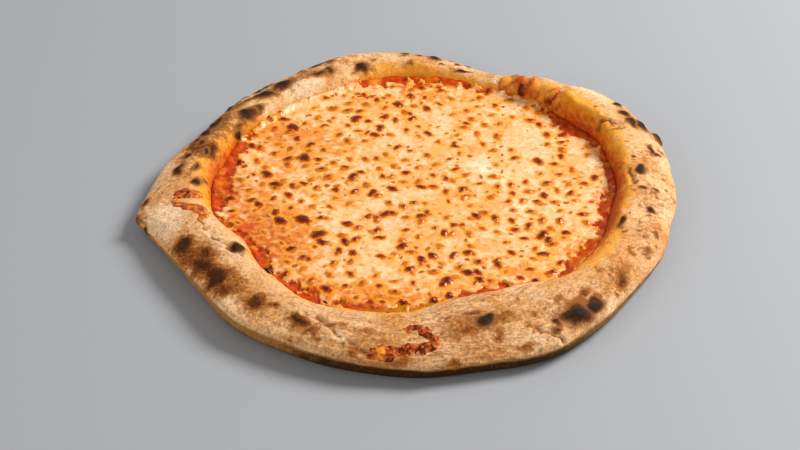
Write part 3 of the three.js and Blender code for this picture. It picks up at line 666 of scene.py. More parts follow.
angle = np.arange(SAUCE_AROUND) * 360 / SAUCE_AROUND
foot = rim_at(angle)[3]
under = [on_angle(angle, share * foot, SAUCE_BOTTOM + 0 * angle) for share in SAUCE_SHARES]
over = [on_angle(angle, share * foot, SAUCE_TOP + 0 * angle) for share in SAUCE_SHARES]
edge = on_angle(angle, foot + SAUCE_TUCK, SAUCE_TOP + 0 * angle)
rings = np.array(under + [edge] + over[::-1])
share = np.array(SAUCE_SHARES + [1.0] + SAUCE_SHARES[::-1])[:, None] + 0 * angle
is_top = (np.arange(len(rings)) >= len(under))[:, None] + 0 * angle
open_strip = smooth(share, 0.78, 0.86) * is_top
meniscus = smooth(share, 0.96, 1.0) * is_top
rings[..., 2] += STRIP_RISE * open_strip + MENISCUS_RISE * meniscus
burnt = np.zeros(share.shape)
for x, y, size, rise in SAUCE_BUBBLES:
    spot = np.hypot(rings[..., 0] - x, rings[..., 1] - y) / size
    rings[..., 2] += rise * np.maximum(0, 1 - spot**2) ** 0.6 * is_top
    burnt = np.maximum(burnt, np.exp(-0.7 * spot**4) * is_top)
sauce = closed_skin("sauce_spread", rings, {
    "open_strip": open_strip, "burnt": burnt, "oily": stained(OIL_POOLS, rings)})

sauce_tree, given = new_tree("sauce_lumps", {
    "Lump size": "NodeSocketFloat", "Lump height": "NodeSocketFloat", "Sauce": "NodeSocketMaterial"})
open_field = node(sauce_tree, "GeometryNodeInputNamedAttribute", {"Name": "open_strip"})
scale = node(sauce_tree, "ShaderNodeMath", {0: 1.0, 1: given["Lump size"]}, operation="DIVIDE")
noise = node(sauce_tree, "ShaderNodeTexNoise", {"Scale": scale, "Detail": 3.0, "Roughness": 0.6})
centred = node(sauce_tree, "ShaderNodeMapRange", {
    "Value": noise, "From Min": 0.35, "From Max": 0.7, "To Min": 0.0, "To Max": 1.0})
rise = node(sauce_tree, "ShaderNodeMath", {0: centred, 1: given["Lump height"]}, operation="MULTIPLY")
rise = node(sauce_tree, "ShaderNodeMath", {0: rise, 1: open_field}, operation="MULTIPLY")
shift = node(sauce_tree, "ShaderNodeCombineXYZ", {2: rise})
moved = node(sauce_tree, "GeometryNodeSetPosition", {"Geometry": given["Geometry"], "Offset": shift})
finish_tree(sauce_tree, moved, given["Sauce"])

# Cooked tomato sauce: wet pulp, so it is glossy, deep red where thick, orange where oil floats.
tomato, tree = new_material("cooked_tomato_sauce")
place = node(tree, "ShaderNodeTexCoord", out="Object")
broad = node(tree, "ShaderNodeTexNoise", {"Vector": place, "Scale": 1 / (9 * MM), "Detail": 4.0})
fine = node(tree, "ShaderNodeTexNoise", {"Vector": place, "Scale": 1 / (4 * MM), "Detail": 3.0})
pulp_share = node(tree, "ShaderNodeMapRange", {"Value": fine, "From Min": 0.35, "From Max": 0.65})
colour = node(tree, "ShaderNodeMix", {0: pulp_share, 6: linear("942806"), 7: linear("C6480A")}, out=2,
              data_type="RGBA")
SAUCE_FINISHES = [
    (broad, 0.54, 0.68, "CE741A"),
    (node(tree, "ShaderNodeAttribute", out="Fac", attribute_name="oily"), 0.3, 0.8, "AE6A08"),
    (node(tree, "ShaderNodeAttribute", out="Fac", attribute_name="burnt"), 0.35, 0.7, "2A1518"),
]
for value, start, full, shade in SAUCE_FINISHES:
    mask = node(tree, "ShaderNodeMapRange", {"Value": value, "From Min": start, "From Max": full})
    colour = node(tree, "ShaderNodeMix", {0: mask, 6: colour, 7: linear(shade)}, out=2, data_type="RGBA")
pulp = node(tree, "ShaderNodeBump", {"Height": fine, "Strength": 0.5, "Distance": 0.8 * MM})
surface = node(tree, "ShaderNodeBsdfPrincipled", {
    "Base Color": colour, "Roughness": 0.22, "Specular IOR Level": 0.3,
    "Specular Tint": linear("FFAC68"), "Normal": pulp})
node(tree, "ShaderNodeOutputMaterial", {"Surface": surface})

run_tree(sauce, sauce_tree, {"Lump size": SAUCE_LUMP_SIZE * MM, "Lump height": SAUCE_LUMP_HEIGHT * MM,
                             "Sauce": tomato})
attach(sauce, "root")
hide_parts("tomato_sauce")


# ---- mozzarella ------------------------------------------------------------------------------
# Shredded low-moisture mozzarella, melted into one sheet that thins out into the sauce. Steam
# blew it into bubbles whose tops browned. It is greasy: butter yellow to orange where the fat
# ran, and red where the sauce comes through.

CHEESE_BOTTOM = 4.3     # the sheet's underside lies in the sauce
CHEESE_TOP = 7.6
CHEESE_DIP = 2.8        # how far the top sinks, below the sauce, where there is no cheese
SHEET_CELLS = 300
SHEET_TUCK = 1.0        # how far the sheet runs in under the skin of the rim
LIP_WIDTH, LIP_RISE = 5, 2.6        # it climbs the foot of the rim where it reaches it
WAVE_FADE = 20          # the soft waves of its top start this far in from its edge
PALE_RISE = 1.1         # how far the pale lumps stand out
STAIN_THINNING = 5      # how much nearer the edge it seems where the sauce breaks through
OUT_OF_SIGHT = -9       # the cover of its wall and underside
BUBBLE_SEED, STREWN_SEED = 8, 3
MIDDLING_SPACING, MIDDLING_SIZE = 8.8, 2.8
SMALL_SPACING, SMALL_SIZE = 5.2, 1.6
BUBBLE_RAGGEDNESS = 4
CURD_SIZE, CURD_HEIGHT = 7, 0.34
EDGE_SIZE, EDGE_RAGGEDNESS = 8, 16.0
# Width of the strip between the foot of the rim and full cheese, where sauce shows.
SAUCE_STRIP = [
    (0, 2), (8, 2.5), (15, 3), (20, 1), (25, 1), (30, 4), (36, 6), (41, 4), (46, -1), (54, -3),
    (61, -3), (68, -1), (76, 2), (84, 2), (91, 1), (98, 1.5), (104, -2), (112, -5), (122, -6),
    (135, -6), (146, -3), (153, 1), (160, 3), (168, 4), (176, 4.5), (184, 2), (190, -1), (197, -3),
    (204, 0), (212, 1.5), (220, 2.5), (230, 3), (240, 1.5), (250, 4), (258, 5.5), (266, 4), (275, 3),
    (284, 3), (292, 4.5), (300, 3.5), (308, 2), (318, 3), (327, 3.5), (336, 1.5), (345, 1.5),
    (352, 2.5),
]
# The bubbles that stand out: place and half width of the browned cap.
BIG_BUBBLES = [
    (-72, 74, 4.2), (-78, 83, 3), (-96, 54, 2.8), (-60, 54, 2.8), (-73, 40, 3), (-63, 41, 4.4),
    (-103, 36, 3), (-85, 23, 4), (-79, 12, 3.4), (-69, 11, 2.6), (-62, 14, 2.2), (-74, -24, 4),
    (-61, -23, 4.4), (-49, -44, 3.2), (-51, -37, 4.2), (-52, -99, 3), (-6, 101, 3.2), (-14, 86, 2.6),
    (-17, 73, 2.6), (-25, 68, 1.8), (-30, 93, 2.6), (-33, 82, 2.4), (1, 91, 2), (2, 111, 2.6),
    (9, 120, 2.6), (22, 117, 2.4), (13, 68, 2.6), (-28, 113, 2.4), (-33, 20, 3.4), (-43, 8, 2.4),
    (-21, 4, 3), (-9, 8, 3), (8, 10, 2.6), (23, 19, 2), (-38, 30, 2), (-19, 40, 2), (-15, 21, 2),
    (-23, -19, 2.2), (-13, -17, 3), (4, -7, 2.2), (8, -20, 2.6), (-18, -33, 2.6), (-16, -40, 2.6),
    (-35, -27, 3.2), (27, -29, 2), (21, -36, 2.6), (33, 8, 2.8), (40, -19, 3), (51, -21, 2.8),
    (80, 37, 3), (94, 42, 2.4), (62, 12, 2.4), (71, 16, 2), (97, 4, 2.6), (77, -6, 2.6), (78, -36, 3.6),
    (91, -35, 2.2), (70, -29, 2.6), (83, 78, 2.4), (97, 66, 2.6), (37, 79, 2), (29, 54, 2.4),
    (-36, -44, 3), (-39, -52, 2.2), (-31, -55, 2.4), (-15, -58, 2.2), (-3, -48, 3.4), (8, -60, 3),
    (14, -56, 3), (1, -69, 3), (22, -79, 4), (14, -97, 3), (23, -92, 2.4), (-45, -87, 3.4),
    (34, -72, 3.4), (40, -78, 3), (51, -66, 2.8), (35, -54, 3), (81, -42, 3), (77, -55, 3),
    (81, -72, 2.8), (-88, -8, 2.6), (-56, -60, 2.2), (-66, -50, 3),
]
# Where fat colours the sheet, and where the sauce breaks through: place, half widths, strength.
FAT_STAINS = [
    (-82, 10, 26, 50, 0.6), (-70, -48, 30, 26, 0.8), (-70, 66, 30, 22, 0.7), (-84, -34, 18, 30, 0.7),
    (-45, -90, 40, 14, 0.8), (0, 112, 60, 12, 0.6), (40, 92, 30, 14, 0.4), (58, -70, 34, 14, 0.6),
    (96, -44, 18, 24, 0.6), (-20, 10, 26, 20, 0.25), (60, 60, 40, 20, 0.2), (-40, 52, 20, 14, 0.6),
    (0, -94, 30, 12, 0.7), (62, -10, 20, 12, 0.35), (104, 20, 16, 26, 0.45), (-90, 84, 20, 14, 0.5),
]
SAUCE_STAINS = [
    (-106, 4, 12, 24, 0.85), (-96, -28, 12, 16, 0.8), (-84, -60, 16, 12, 0.9), (-58, -88, 24, 10, 0.85),
    (-20, -100, 24, 8, 0.8), (6, 122, 36, 6, 0.7), (50, -84, 22, 7, 0.7), (100, -54, 10, 16, 0.8),
    (112, -8, 7, 22, 0.6), (-98, 60, 12, 12, 0.5), (-52, 18, 12, 8, 0.45), (-46, 0, 14, 8, 0.35),
    (60, -62, 16, 8, 0.45), (72, -48, 12, 8, 0.4),
]
# Where it stayed pale and thick: place, half widths, strength.
PALE_LUMPS = [
    (46, 30, 11, 9, 1), (53, 16, 7, 8, 1), (66, -12, 8, 14, 0.9), (25, 38, 9, 8, 0.7),
    (81, -8, 6, 5, 0.7), (-60, -14, 14, 10, 0.4), (-108, -24, 6, 6, 0.9), (-96, 76, 12, 12, 0.5),
    (114, 34, 10, 14, 0.7), (10, -28, 30, 14, 0.4), (-20, 60, 30, 12, 0.3), (-38, -66, 20, 8, 0.4),
    (64, 112, 16, 10, 0.5), (-60, 100, 20, 10, 0.4),
]


# A square grid bent into a disc, so the cells stay about as large all over the sheet.
u, v = np.meshgrid(np.linspace(-1, 1, SHEET_CELLS + 1), np.linspace(-1, 1, SHEET_CELLS + 1))
share = np.maximum(abs(u), abs(v))
with np.errstate(divide="ignore", invalid="ignore"):
    sideways = np.where(u > 0, 0, 180) + 45 * v / u
    endways = np.where(v > 0, 90, 270) - 45 * u / v
turn = np.nan_to_num(np.where(abs(u) >= abs(v), sideways, endways))
edge = rim_at(turn)[3] + SHEET_TUCK
top = on_angle(turn, share * edge, CHEESE_TOP)
x, y = top[..., 0], top[..., 1]
inward = (1 - share) * edge
waves = (0.35 * np.sin(x / 17 + 0.8) * np.cos(y / 21 + 0.4) + 0.3 * np.sin((x + y) / 11 + 2)
         + 0.2 * np.cos((x - 2 * y) / 15))
top[..., 2] += PALE_RISE * stained(PALE_LUMPS, top) + waves * smooth(inward, 0, WAVE_FADE)
top[..., 2] += LIP_RISE * smooth(inward, LIP_WIDTH, 0)
cover = (inward - SHEET_TUCK - round_the_rim(SAUCE_STRIP, 1, turn)
         - STAIN_THINNING * stained(SAUCE_STAINS, top))
side = SHEET_CELLS + 1
index = np.arange(side * side).reshape(side, side)
quads = np.stack([index[:-1, :-1], index[:-1, 1:], index[1:, 1:], index[1:, :-1]], -1).reshape(-1, 4)
loop = np.concatenate([index[0, :-1], index[:-1, -1], index[-1, :0:-1], index[:0:-1, 0]])
flat = top.reshape(-1, 3)
below = flat[loop] * [1, 1, 0] + [0, 0, CHEESE_BOTTOM]
points = np.concatenate([flat, below, [[0, 0, CHEESE_BOTTOM]]])
first, step = side * side, np.arange(len(loop))
after = (step + 1) % len(loop)
wall = np.stack([first + step, first + after, loop[after], loop[step]], -1)
fan = np.stack([np.full_like(step, len(points) - 1), first + after, first + step], -1)
mozzarella = new_piece("mozzarella_sheet", points, quads.tolist() + wall.tolist() + fan.tolist(), {
    "upper": np.arange(len(points)) < first,
    "cover": np.concatenate([cover.ravel(), np.full(len(points) - first, OUT_OF_SIGHT)]),
    "fat": stained(FAT_STAINS, points), "bleed": stained(SAUCE_STAINS, points),
    "pale": stained(PALE_LUMPS, points)})

# Bubbles: three sizes of them, the largest at their own places and the others strewn at random
# but apart. Each is an oval with a turn and a toasting of its own. How far a point lies inside
# the nearest outline is kept as a field, for the relief here and for the browning.
bubble_tree, given = new_tree("cheese_bubbles", {
    "Big bubbles": "NodeSocketObject", "Middling spacing": "NodeSocketFloat",
    "Middling size": "NodeSocketFloat", "Small spacing": "NodeSocketFloat",
    "Small size": "NodeSocketFloat", "Raggedness": "NodeSocketFloat", "Curd size": "NodeSocketFloat",
    "Curd height": "NodeSocketFloat", "Edge size": "NodeSocketFloat", "Edge raggedness": "NodeSocketFloat",
    "Dip": "NodeSocketFloat", "Seed": "NodeSocketInt", "Cheese": "NodeSocketMaterial"})
position = node(bubble_tree, "GeometryNodeInputPosition")
upper = node(bubble_tree, "GeometryNodeInputNamedAttribute", {"Name": "upper"})
fields = {name: node(bubble_tree, "GeometryNodeInputNamedAttribute", {"Name": name})
          for name in ("size", "turn", "toast")}
swarms = [node(bubble_tree, "GeometryNodeObjectInfo", {"Object": given["Big bubbles"]}, out="Geometry")]
# The strewn ones gather in loose crowds, and stand so dense there that only the spacing parts them.
gather = node(bubble_tree, "ShaderNodeTexNoise", {"Scale": 1 / (28 * MM), "Detail": 2.0})
gather = node(bubble_tree, "ShaderNodeMapRange", {"Value": gather, "From Min": 0.3, "From Max": 0.5})
for spacing, size in (("Middling spacing", "Middling size"), ("Small spacing", "Small size")):
    spots = node(bubble_tree, "GeometryNodeDistributePointsOnFaces", {
        "Mesh": given["Geometry"], "Selection": upper, "Distance Min": given[spacing],
        "Density Max": 60000.0, "Density Factor": gather, "Seed": given["Seed"]},
        out="Points", distribute_method="POISSON")
    least = node(bubble_tree, "ShaderNodeMath", {0: given[size], 1: 0.45}, operation="MULTIPLY")
    for name, low, high, seed in (("size", least, given[size], 5), ("turn", 0.0, math.pi, 6),
                                  ("toast", 0.0, 1.0, 7)):
        chance = node(bubble_tree, "FunctionNodeRandomValue", {2: low, 3: high, "Seed": seed}, out=1)
        spots = node(bubble_tree, "GeometryNodeStoreNamedAttribute", {
            "Geometry": spots, "Name": name, "Value": chance}, domain="POINT")
    swarms.append(spots)
drift = node(bubble_tree, "ShaderNodeTexNoise", {"Scale": 1 / (4 * MM), "Detail": 4.0}, out="Color")
drift = node(bubble_tree, "ShaderNodeVectorMath", {0: drift, 1: (0.5, 0.5, 0.5)}, operation="SUBTRACT")
drift = node(bubble_tree, "ShaderNodeVectorMath", {0: drift, "Scale": given["Raggedness"]}, operation="SCALE")
drifted = node(bubble_tree, "ShaderNodeVectorMath", {0: position, 1: drift})
outlines, toasts = [], []
for swarm in swarms:
    nearest = node(bubble_tree, "GeometryNodeSampleNearest", {"Geometry": swarm, "Sample Position": drifted},
                   domain="POINT")
    centre = node(bubble_tree, "GeometryNodeSampleIndex", {
        "Geometry": swarm, "Value": position, "Index": nearest}, data_type="FLOAT_VECTOR")
    size, lean, toast = [node(bubble_tree, "GeometryNodeSampleIndex", {
        "Geometry": swarm, "Value": fields[name], "Index": nearest}) for name in fields]
    offset = node(bubble_tree, "ShaderNodeVectorMath", {0: drifted, 1: centre}, operation="SUBTRACT")
    leant = node(bubble_tree, "ShaderNodeVectorRotate", {"Vector": offset, "Angle": lean},
                 rotation_type="Z_AXIS")
    oval = node(bubble_tree, "ShaderNodeVectorMath", {0: leant, 1: (0.85, 1.3, 0)}, operation="MULTIPLY")
    away = node(bubble_tree, "ShaderNodeVectorMath", {0: oval}, out="Value", operation="LENGTH")
    inside = node(bubble_tree, "ShaderNodeMath", {0: size, 1: away}, operation="SUBTRACT")
    outlines.append(node(bubble_tree, "ShaderNodeMapRange", {
        "Value": upper, 3: -5 * MM, 4: inside}, clamp=False))
    toasts.append(toast)
caps = node(bubble_tree, "ShaderNodeMath", {0: outlines[0], 1: outlines[1]}, operation="MAXIMUM")
middling_wins = node(bubble_tree, "ShaderNodeMath", {0: outlines[1], 1: outlines[0]},
                     operation="GREATER_THAN")
toast = node(bubble_tree, "ShaderNodeMix", {0: middling_wins, 2: toasts[0], 3: toasts[1]})

# The sheet thins out with a ragged edge, and has a curdled relief between its bubbles.
scale = node(bubble_tree, "ShaderNodeMath", {0: 1.0, 1: given["Edge size"]}, operation="DIVIDE")
noise = node(bubble_tree, "ShaderNodeTexNoise", {"Scale": scale, "Detail": 4.0, "Roughness": 0.6})
noise = node(bubble_tree, "ShaderNodeMath", {0: noise, 1: 0.5}, operation="SUBTRACT")
cover = node(bubble_tree, "GeometryNodeInputNamedAttribute", {"Name": "cover"})
bleed = node(bubble_tree, "GeometryNodeInputNamedAttribute", {"Name": "bleed"})
torn = node(bubble_tree, "ShaderNodeMapRange", {"Value": bleed, "To Min": 1.0, "To Max": 3.8})
noise = node(bubble_tree, "ShaderNodeMath", {0: noise, 1: torn}, operation="MULTIPLY")
cover = node(bubble_tree, "ShaderNodeMath", {0: noise, 1: given["Edge raggedness"], 2: cover},
             operation="MULTIPLY_ADD")
sunk = node(bubble_tree, "ShaderNodeMapRange", {
    "Value": cover, "From Min": -2.0, "From Max": 3.0, "To Min": given["Dip"], "To Max": 0.0},
    interpolation_type="SMOOTHSTEP")
scale = node(bubble_tree, "ShaderNodeMath", {0: 1.0, 1: given["Curd size"]}, operation="DIVIDE")
curd = node(bubble_tree, "ShaderNodeTexNoise", {"Scale": scale, "Detail": 3.0, "Distortion": 1.5})
curd = node(bubble_tree, "ShaderNodeMapRange", {"Value": curd, "From Min": 0.3, "From Max": 0.7,
                                                "To Min": -1.0, "To Max": 1.0})
rise = node(bubble_tree, "ShaderNodeMath", {0: curd, 1: given["Curd height"]}, operation="MULTIPLY")
# Domes: how far inside the outline, in mm, they start and reach their height, and the height.
for value, start, full, height in ((caps, -1.2, 3.6, 1.5), (outlines[2], -0.8, 1.2, 0.25)):
    dome = node(bubble_tree, "ShaderNodeMapRange", {
        "Value": value, "From Min": start * MM, "From Max": full * MM, "To Max": height * MM},
        interpolation_type="SMOOTHSTEP")
    rise = node(bubble_tree, "ShaderNodeMath", {0: rise, 1: dome}, operation="ADD")
fade = node(bubble_tree, "ShaderNodeMapRange", {"Value": cover, "From Min": -1.0, "From Max": 2.0})
rise = node(bubble_tree, "ShaderNodeMath", {0: rise, 1: fade}, operation="MULTIPLY")
rise = node(bubble_tree, "ShaderNodeMath", {0: rise, 1: sunk}, operation="SUBTRACT")
rise = node(bubble_tree, "ShaderNodeMath", {0: rise, 1: upper}, operation="MULTIPLY")
shift = node(bubble_tree, "ShaderNodeCombineXYZ", {2: rise})
moved = node(bubble_tree, "GeometryNodeSetPosition", {"Geometry": given["Geometry"], "Offset": shift})
for name, value in (("cap", caps), ("fleck", outlines[2]), ("toast", toast), ("cover", cover),
                    ("fleck_toast", toasts[2])):
    moved = node(bubble_tree, "GeometryNodeStoreNamedAttribute", {
        "Geometry": moved, "Name": name, "Value": value}, domain="POINT")
finish_tree(bubble_tree, moved, given["Cheese"])

# Browned mozzarella: wet with its own fat, so it is glossy, and it lets a little light in. The
# caps of the bubbles are toasted milk sugar, dark and shining, inside a thin amber ring.
cheese, tree = new_material("browned_mozzarella")
place = node(tree, "ShaderNodeTexCoord", out="Object")
broad = node(tree, "ShaderNodeTexNoise", {"Vector": place, "Scale": 1 / (15 * MM), "Detail": 4.0,
                                          "Roughness": 0.55, "Distortion": 0.4})
smear = node(tree, "ShaderNodeTexNoise", {"Vector": place, "Scale": 1 / (7 * MM), "Detail": 4.0,
                                          "Distortion": 1.0})
fine = node(tree, "ShaderNodeTexNoise", {"Vector": place, "Scale": 1 / (3 * MM), "Detail": 4.0})
bent = node(tree, "ShaderNodeTexNoise", {"Vector": place, "Scale": 1 / (5 * MM)}, out="Color")
bent = node(tree, "ShaderNodeVectorMath", {0: bent, "Scale": 5 * MM}, operation="SCALE")
bent = node(tree, "ShaderNodeVectorMath", {0: bent, 1: place})
seams = node(tree, "ShaderNodeTexVoronoi", {"Vector": bent, "Scale": 1 / (9 * MM)},
             feature="DISTANCE_TO_EDGE")
fine_share = node(tree, "ShaderNodeMapRange", {"Value": fine, "From Min": 0.35, "From Max": 0.65})
colour = node(tree, "ShaderNodeMix", {0: fine_share, 6: linear("E8C094"), 7: linear("E0AC74")}, out=2,
              data_type="RGBA")
toast = node(tree, "ShaderNodeAttribute", out="Fac", attribute_name="toast")
fleck_toast = node(tree, "ShaderNodeAttribute", out="Fac", attribute_name="fleck_toast")
TOAST_REACH = 2         # how far toasting spreads the dark finishes of a bubble, in mm
TOAST_HOLD = 1.5        # and how far they are drawn back in a bubble with none
# Field, grain of its edge in mm, raggedness, start and full, colour, how much of it, and the
# toasting that lets it reach out from the middle of a bubble, or not. A bubble's fields are metres
# inside its outline.
CHEESE_FINISHES = [
    (broad, 4, 0.16, 0.46, 0.64, "E0933E", 0.75, None),
    ("pale", 5, 0.50, 0.35, 0.85, "F0D2AE", 0.85, None),
    (smear, 3, 0.08, 0.58, 0.68, "CF7812", 0.75, None),
    (seams, 4, 0.16, 0.10, 0.00, "DE9C48", 0.6, None),
    ("fat", 6, 0.90, 0.36, 0.84, "D97818", 0.85, None),
    ("fat", 3.5, 0.90, 0.66, 1.10, "B04A06", 0.8, None),
    ("bleed", 6, 0.75, 0.40, 0.95, "C24510", 0.9, None),
    ("cover", 4, 3.4, 5.5, 1.5, "D0701A", 0.85, None),
    ("cover", 3.0, 3.0, 2.4, -1.0, "B63E08", 0.95, None),
    ("fleck", 2.2, 0.0010, -0.0009, 0.0002, "D28A1C", 0.85, None),
    ("fleck", 1.4, 0.0008, 0.0000, 0.0005, "A04C0A", 0.9, fleck_toast),
    ("cap", 3.0, 0.0020, -0.0028, -0.0008, "DA9026", 0.85, None),
    ("cap", 1.8, 0.0014, -0.0010, 0.0000, "BC5E0E", 0.9, None),
    ("cap", 1.4, 0.0012, 0.0000, 0.0008, "8C2E06", 0.95, toast),
    ("cap", 1.2, 0.0012, 0.0010, 0.0021, "4C1502", 0.9, toast),
]
for field, size, ragged, start, full, shade, amount, toasting in CHEESE_FINISHES:
    value = field if not isinstance(field, str) else node(
        tree, "ShaderNodeAttribute", out="Fac", attribute_name=field)
    value = roughened(tree, place, value, size, ragged, 4.0)
    if toasting:
        value = node(tree, "ShaderNodeMath", {0: toasting, 1: TOAST_REACH * MM, 2: value},
                     operation="MULTIPLY_ADD")
        start, full = start + TOAST_HOLD * MM, full + TOAST_HOLD * MM
    mask = node(tree, "ShaderNodeMapRange", {"Value": value, "From Min": start, "From Max": full,
                                             "To Max": amount}, interpolation_type="SMOOTHSTEP")
    colour = node(tree, "ShaderNodeMix", {0: mask, 6: colour, 7: linear(shade)}, out=2, data_type="RGBA")
gloss = node(tree, "ShaderNodeMapRange", {"Value": broad, "From Min": 0.3, "From Max": 0.7,
                                          "To Min": 0.42, "To Max": 0.28})
curd = node(tree, "ShaderNodeBump", {"Height": fine, "Strength": 0.4, "Distance": 0.5 * MM})
surface = node(tree, "ShaderNodeBsdfPrincipled", {
    "Base Color": colour, "Roughness": gloss, "Specular IOR Level": 0.22,
    "Specular Tint": linear("FFAC68"), "Normal": curd, "Coat Weight": 0.25, "Coat Roughness": 0.15,
    "Subsurface Weight": 0.12, "Subsurface Radius": (1.0, 0.5, 0.2), "Subsurface Scale": 1.5 * MM})
node(tree, "ShaderNodeOutputMaterial", {"Surface": surface})

big_places = np.array(BIG_BUBBLES, float)
chance = np.random.default_rng(BUBBLE_SEED)
bubble_points = new_piece("bubble_places", big_places * [1, 1, 0], [], {
    "size": big_places[:, 2] * MM, "turn": chance.uniform(0, math.pi, len(big_places)),
    "toast": chance.uniform(0.7, 1, len(big_places))})
run_tree(mozzarella, bubble_tree, {
    "Big bubbles": bubble_points, "Middling spacing": MIDDLING_SPACING * MM,
    "Middling size": MIDDLING_SIZE * MM, "Small spacing": SMALL_SPACING * MM,
    "Small size": SMALL_SIZE * MM, "Raggedness": BUBBLE_RAGGEDNESS * MM, "Curd size": CURD_SIZE * MM,
    "Curd height": CURD_HEIGHT * MM, "Edge size": EDGE_SIZE * MM, "Edge raggedness": EDGE_RAGGEDNESS,
    "Dip": CHEESE_DIP * MM, "Seed": STREWN_SEED, "Cheese": cheese})
bpy.data.objects.remove(bubble_points)
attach(mozzarella, "root")
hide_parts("mozzarella")


# ---- browned cheese on the rim -----------------------------------------------------------------
# Cheese that boiled over onto the dough and browned there: two mounds on the far inner slope,
# two drips on the left, and a hooked streak on the near side. Each is a run of low mounds that
# melt into one another, grown on the skin of the rim itself, with the crusty lumps of fried fat.

BIT_SKIRT = 0.9         # how far a bit's thin edge reaches down into the dough
BIT_WALL = 1.4
MELT_SHARPNESS = 2      # how little the mounds of a bit fill the hollows between them
MELT_SINK = 0.2         # how much lower they lie where they have melted into one another
BIT_LUMP_SIZE, BIT_LUMP_HEIGHT = 2.4, 0.3
# Each bit's node, how crackled its crust is and how brown; a spot on it, by its angle, place
# across the rim, half size and how much browner it is; and its mounds, by their angle, place, half
# sizes along and across, and rise.
BOILED_OVER = {
    "boiled_over_large": ("rim_cheese_large", 0.35, -0.08, (55.5, -0.8, 2.2, 0.5), [
        (59.5, -0.78, 5.5, 5, 3.6), (56, -0.72, 5.5, 6, 4), (53.5, -0.5, 6, 6, 2.8), (58, -0.3, 6, 5, 2.2),
        (52, -0.78, 4, 4, 2.4), (62, -0.4, 4, 5, 1.6)]),
    "boiled_over_small": ("rim_cheese_small", 0.35, -0.04, (47, -0.8, 3, 0.15), [
        (47.6, -0.8, 4.6, 5, 3.6), (46.5, -0.6, 5, 6, 3), (44, -0.78, 4, 4, 2.4)]),
    "upper_drip": ("rim_drip_upper", 1, 0.02, (185, -0.08, 2.6, 0.14), [
        (185.2, 0.12, 3.4, 3.2, 1.4), (185, -0.08, 4, 3.8, 1.9), (184.6, -0.3, 3.6, 3.6, 1.7),
        (184.4, -0.52, 2.6, 2.8, 1.1)]),
    "lower_drip": ("rim_drip_lower", 0.8, 0.0, (191, 0.1, 3, 0.16), [
        (188.8, 0.22, 5, 3.6, 1.4), (191.6, 0.05, 8, 4.6, 2), (193.8, -0.1, 7, 4.2, 1.8),
        (192, -0.34, 5, 4, 1.5), (198, -0.02, 4, 3.4, 1.3)]),
    "hooked_streak": ("burnt_cheese_streak", 1, 0.16, (264.8, 0.76, 3, -0.4), [
        (263.4, 0.78, 4, 4.6, 1.2), (265.2, 0.75, 4, 4.6, 1.3), (267.2, 0.74, 3.6, 4, 1.2),
        (269.2, 0.69, 3.2, 3.4, 1.1), (271, 0.66, 3.2, 3.2, 1.1), (272.8, 0.65, 3.2, 3.4, 1.1),
        (274.8, 0.65, 3.6, 3.8, 1.3), (276, 0.62, 3.2, 3.4, 1.2), (275.5, 0.51, 3.6, 3.6, 1.2),
        (274.2, 0.41, 3.6, 3.6, 1.3), (273, 0.31, 3.2, 3.4, 1.2), (271.2, 0.24, 3, 3, 1.1),
        (269.8, 0.3, 2.4, 2.4, 0.9)]),
}

bit_tree, given = new_tree("boiled_lumps", {
    "Lump size": "NodeSocketFloat", "Lump height": "NodeSocketFloat", "Cheese": "NodeSocketMaterial"})
scale = node(bit_tree, "ShaderNodeMath", {0: 1.0, 1: given["Lump size"]}, operation="DIVIDE")
noise = node(bit_tree, "ShaderNodeTexNoise", {"Scale": scale, "Detail": 3.0})
centred = node(bit_tree, "ShaderNodeMapRange", {"Value": noise, "From Min": 0.3, "From Max": 0.7,
                                                "To Min": -1.0, "To Max": 1.0}, clamp=False)
rise = node(bit_tree, "ShaderNodeMath", {0: centred, 1: given["Lump height"]}, operation="MULTIPLY")
skin_normal = node(bit_tree, "GeometryNodeInputNormal")
shift = node(bit_tree, "ShaderNodeVectorMath", {0: skin_normal, "Scale": rise}, operation="SCALE")
moved = node(bit_tree, "GeometryNodeSetPosition", {"Geometry": given["Geometry"], "Offset": shift})
kept = node(bit_tree, "GeometryNodeStoreNamedAttribute", {
    "Geometry": moved, "Name": "lump", "Value": noise}, domain="POINT")
finish_tree(bit_tree, kept, given["Cheese"])

# Fried cheese: fat-soaked and glassy, amber in its hollows and dark brown on its lumps.
fried, tree = new_material("fried_cheese")
place = node(tree, "ShaderNodeTexCoord", out="Object")
lump = node(tree, "ShaderNodeAttribute", out="Fac", attribute_name="lump")
fine = node(tree, "ShaderNodeTexNoise", {"Vector": place, "Scale": 1 / (1.6 * MM), "Detail": 5.0})
crackled = node(tree, "ShaderNodeAttribute", out="Fac", attribute_name="crackled")
fine = node(tree, "ShaderNodeMix", {0: crackled, 2: 0.5, 3: fine})
browning = node(tree, "ShaderNodeAttribute", out="Fac", attribute_name="browning")
lump = node(tree, "ShaderNodeMath", {0: lump, 1: browning})
toast = node(tree, "ShaderNodeMath", {0: fine, 1: 0.8, 2: lump}, operation="MULTIPLY_ADD")
colour = node(tree, "ShaderNodeMapRange", {"Value": toast, "From Min": 0.72, "From Max": 0.96})
colour = node(tree, "ShaderNodeMix", {0: colour, 6: linear("D88A2C"), 7: linear("A8481A")}, out=2,
              data_type="RGBA")
dark = node(tree, "ShaderNodeMapRange", {"Value": toast, "From Min": 0.98, "From Max": 1.14})
colour = node(tree, "ShaderNodeMix", {0: dark, 6: colour, 7: linear("4E1604")}, out=2, data_type="RGBA")
crackle = node(tree, "ShaderNodeBump", {"Height": fine, "Strength": 0.6, "Distance": 0.7 * MM})
surface = node(tree, "ShaderNodeBsdfPrincipled", {
    "Base Color": colour, "Roughness": 0.42, "Specular IOR Level": 0.35,
    "Specular Tint": linear("FFAC68"), "Normal": crackle})
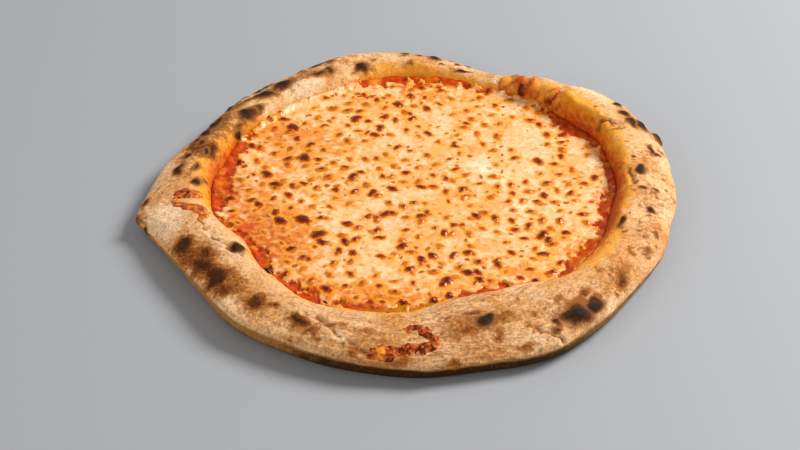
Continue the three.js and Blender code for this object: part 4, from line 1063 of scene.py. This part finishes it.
node(tree, "ShaderNodeOutputMaterial", {"Surface": surface})


def of_skin(elements, key):
    """A vector of each point of the crust's skin, in its rings and without the two poles."""
    values = np.empty(len(elements) * 3, np.float32)
    elements.foreach_get(key, values)
    return values.reshape(-1, 3)[1:-1].reshape(-1, AROUND, 3)


skin = of_skin(crust.data.vertices, "co") / MM
skin_out = of_skin(crust.data.vertex_normals, "vector")
for name, (cad_node, crackled, browning, spot_on_it, mounds) in BOILED_OVER.items():
    melt = np.zeros(skin.shape[:2])
    for at, place, along, wide, rise in mounds:
        spot = distance_to_spot(strayed, at, place, along, wide)
        melt += np.exp(MELT_SHARPNESS * (rise * np.maximum(1 - spot**2, -4)))
    thickness = np.log(melt) / MELT_SHARPNESS - MELT_SINK
    on_rim = (across > -1.02) & (across < 0.94)
    cells = (thickness > -BIT_SKIRT * 0.9) & on_rim
    cells = cells[:-1] | cells[1:]
    cells = np.argwhere(cells | np.roll(cells, -1, 1))
    corners = [(row, column) for r, c in cells for row, column in (
        (r, c), (r, (c + 1) % AROUND), (r + 1, (c + 1) % AROUND), (r + 1, c))]
    numbers = {}
    for corner in corners:
        numbers.setdefault(corner, len(numbers))
    faces = [[numbers[corner] for corner in corners[start:start + 4]] for start in range(0, len(corners), 4)]
    rows, columns = np.array(list(numbers)).T
    lift = np.maximum(thickness[rows, columns], -BIT_SKIRT)[:, None]
    at, place, half, more = spot_on_it
    spot = distance_to_spot(strayed, at, place, half, half)[rows, columns]
    bit = new_piece(name, skin[rows, columns] + skin_out[rows, columns] * lift, faces,
                    {"browning": browning + more * np.exp(-spot**2), "crackled": crackled + 0 * spot})
    wall = bit.modifiers.new("underside", "SOLIDIFY")
    wall.thickness = BIT_WALL * MM
    wall.offset = -1
    finer = bit.modifiers.new("finer_skin", "SUBSURF")
    finer.levels = finer.render_levels = 1
    run_tree(bit, bit_tree, {"Lump size": BIT_LUMP_SIZE * MM / crackled,
                             "Lump height": BIT_LUMP_HEIGHT * MM, "Cheese": fried})
    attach(bit, "root")
    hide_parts(cad_node)
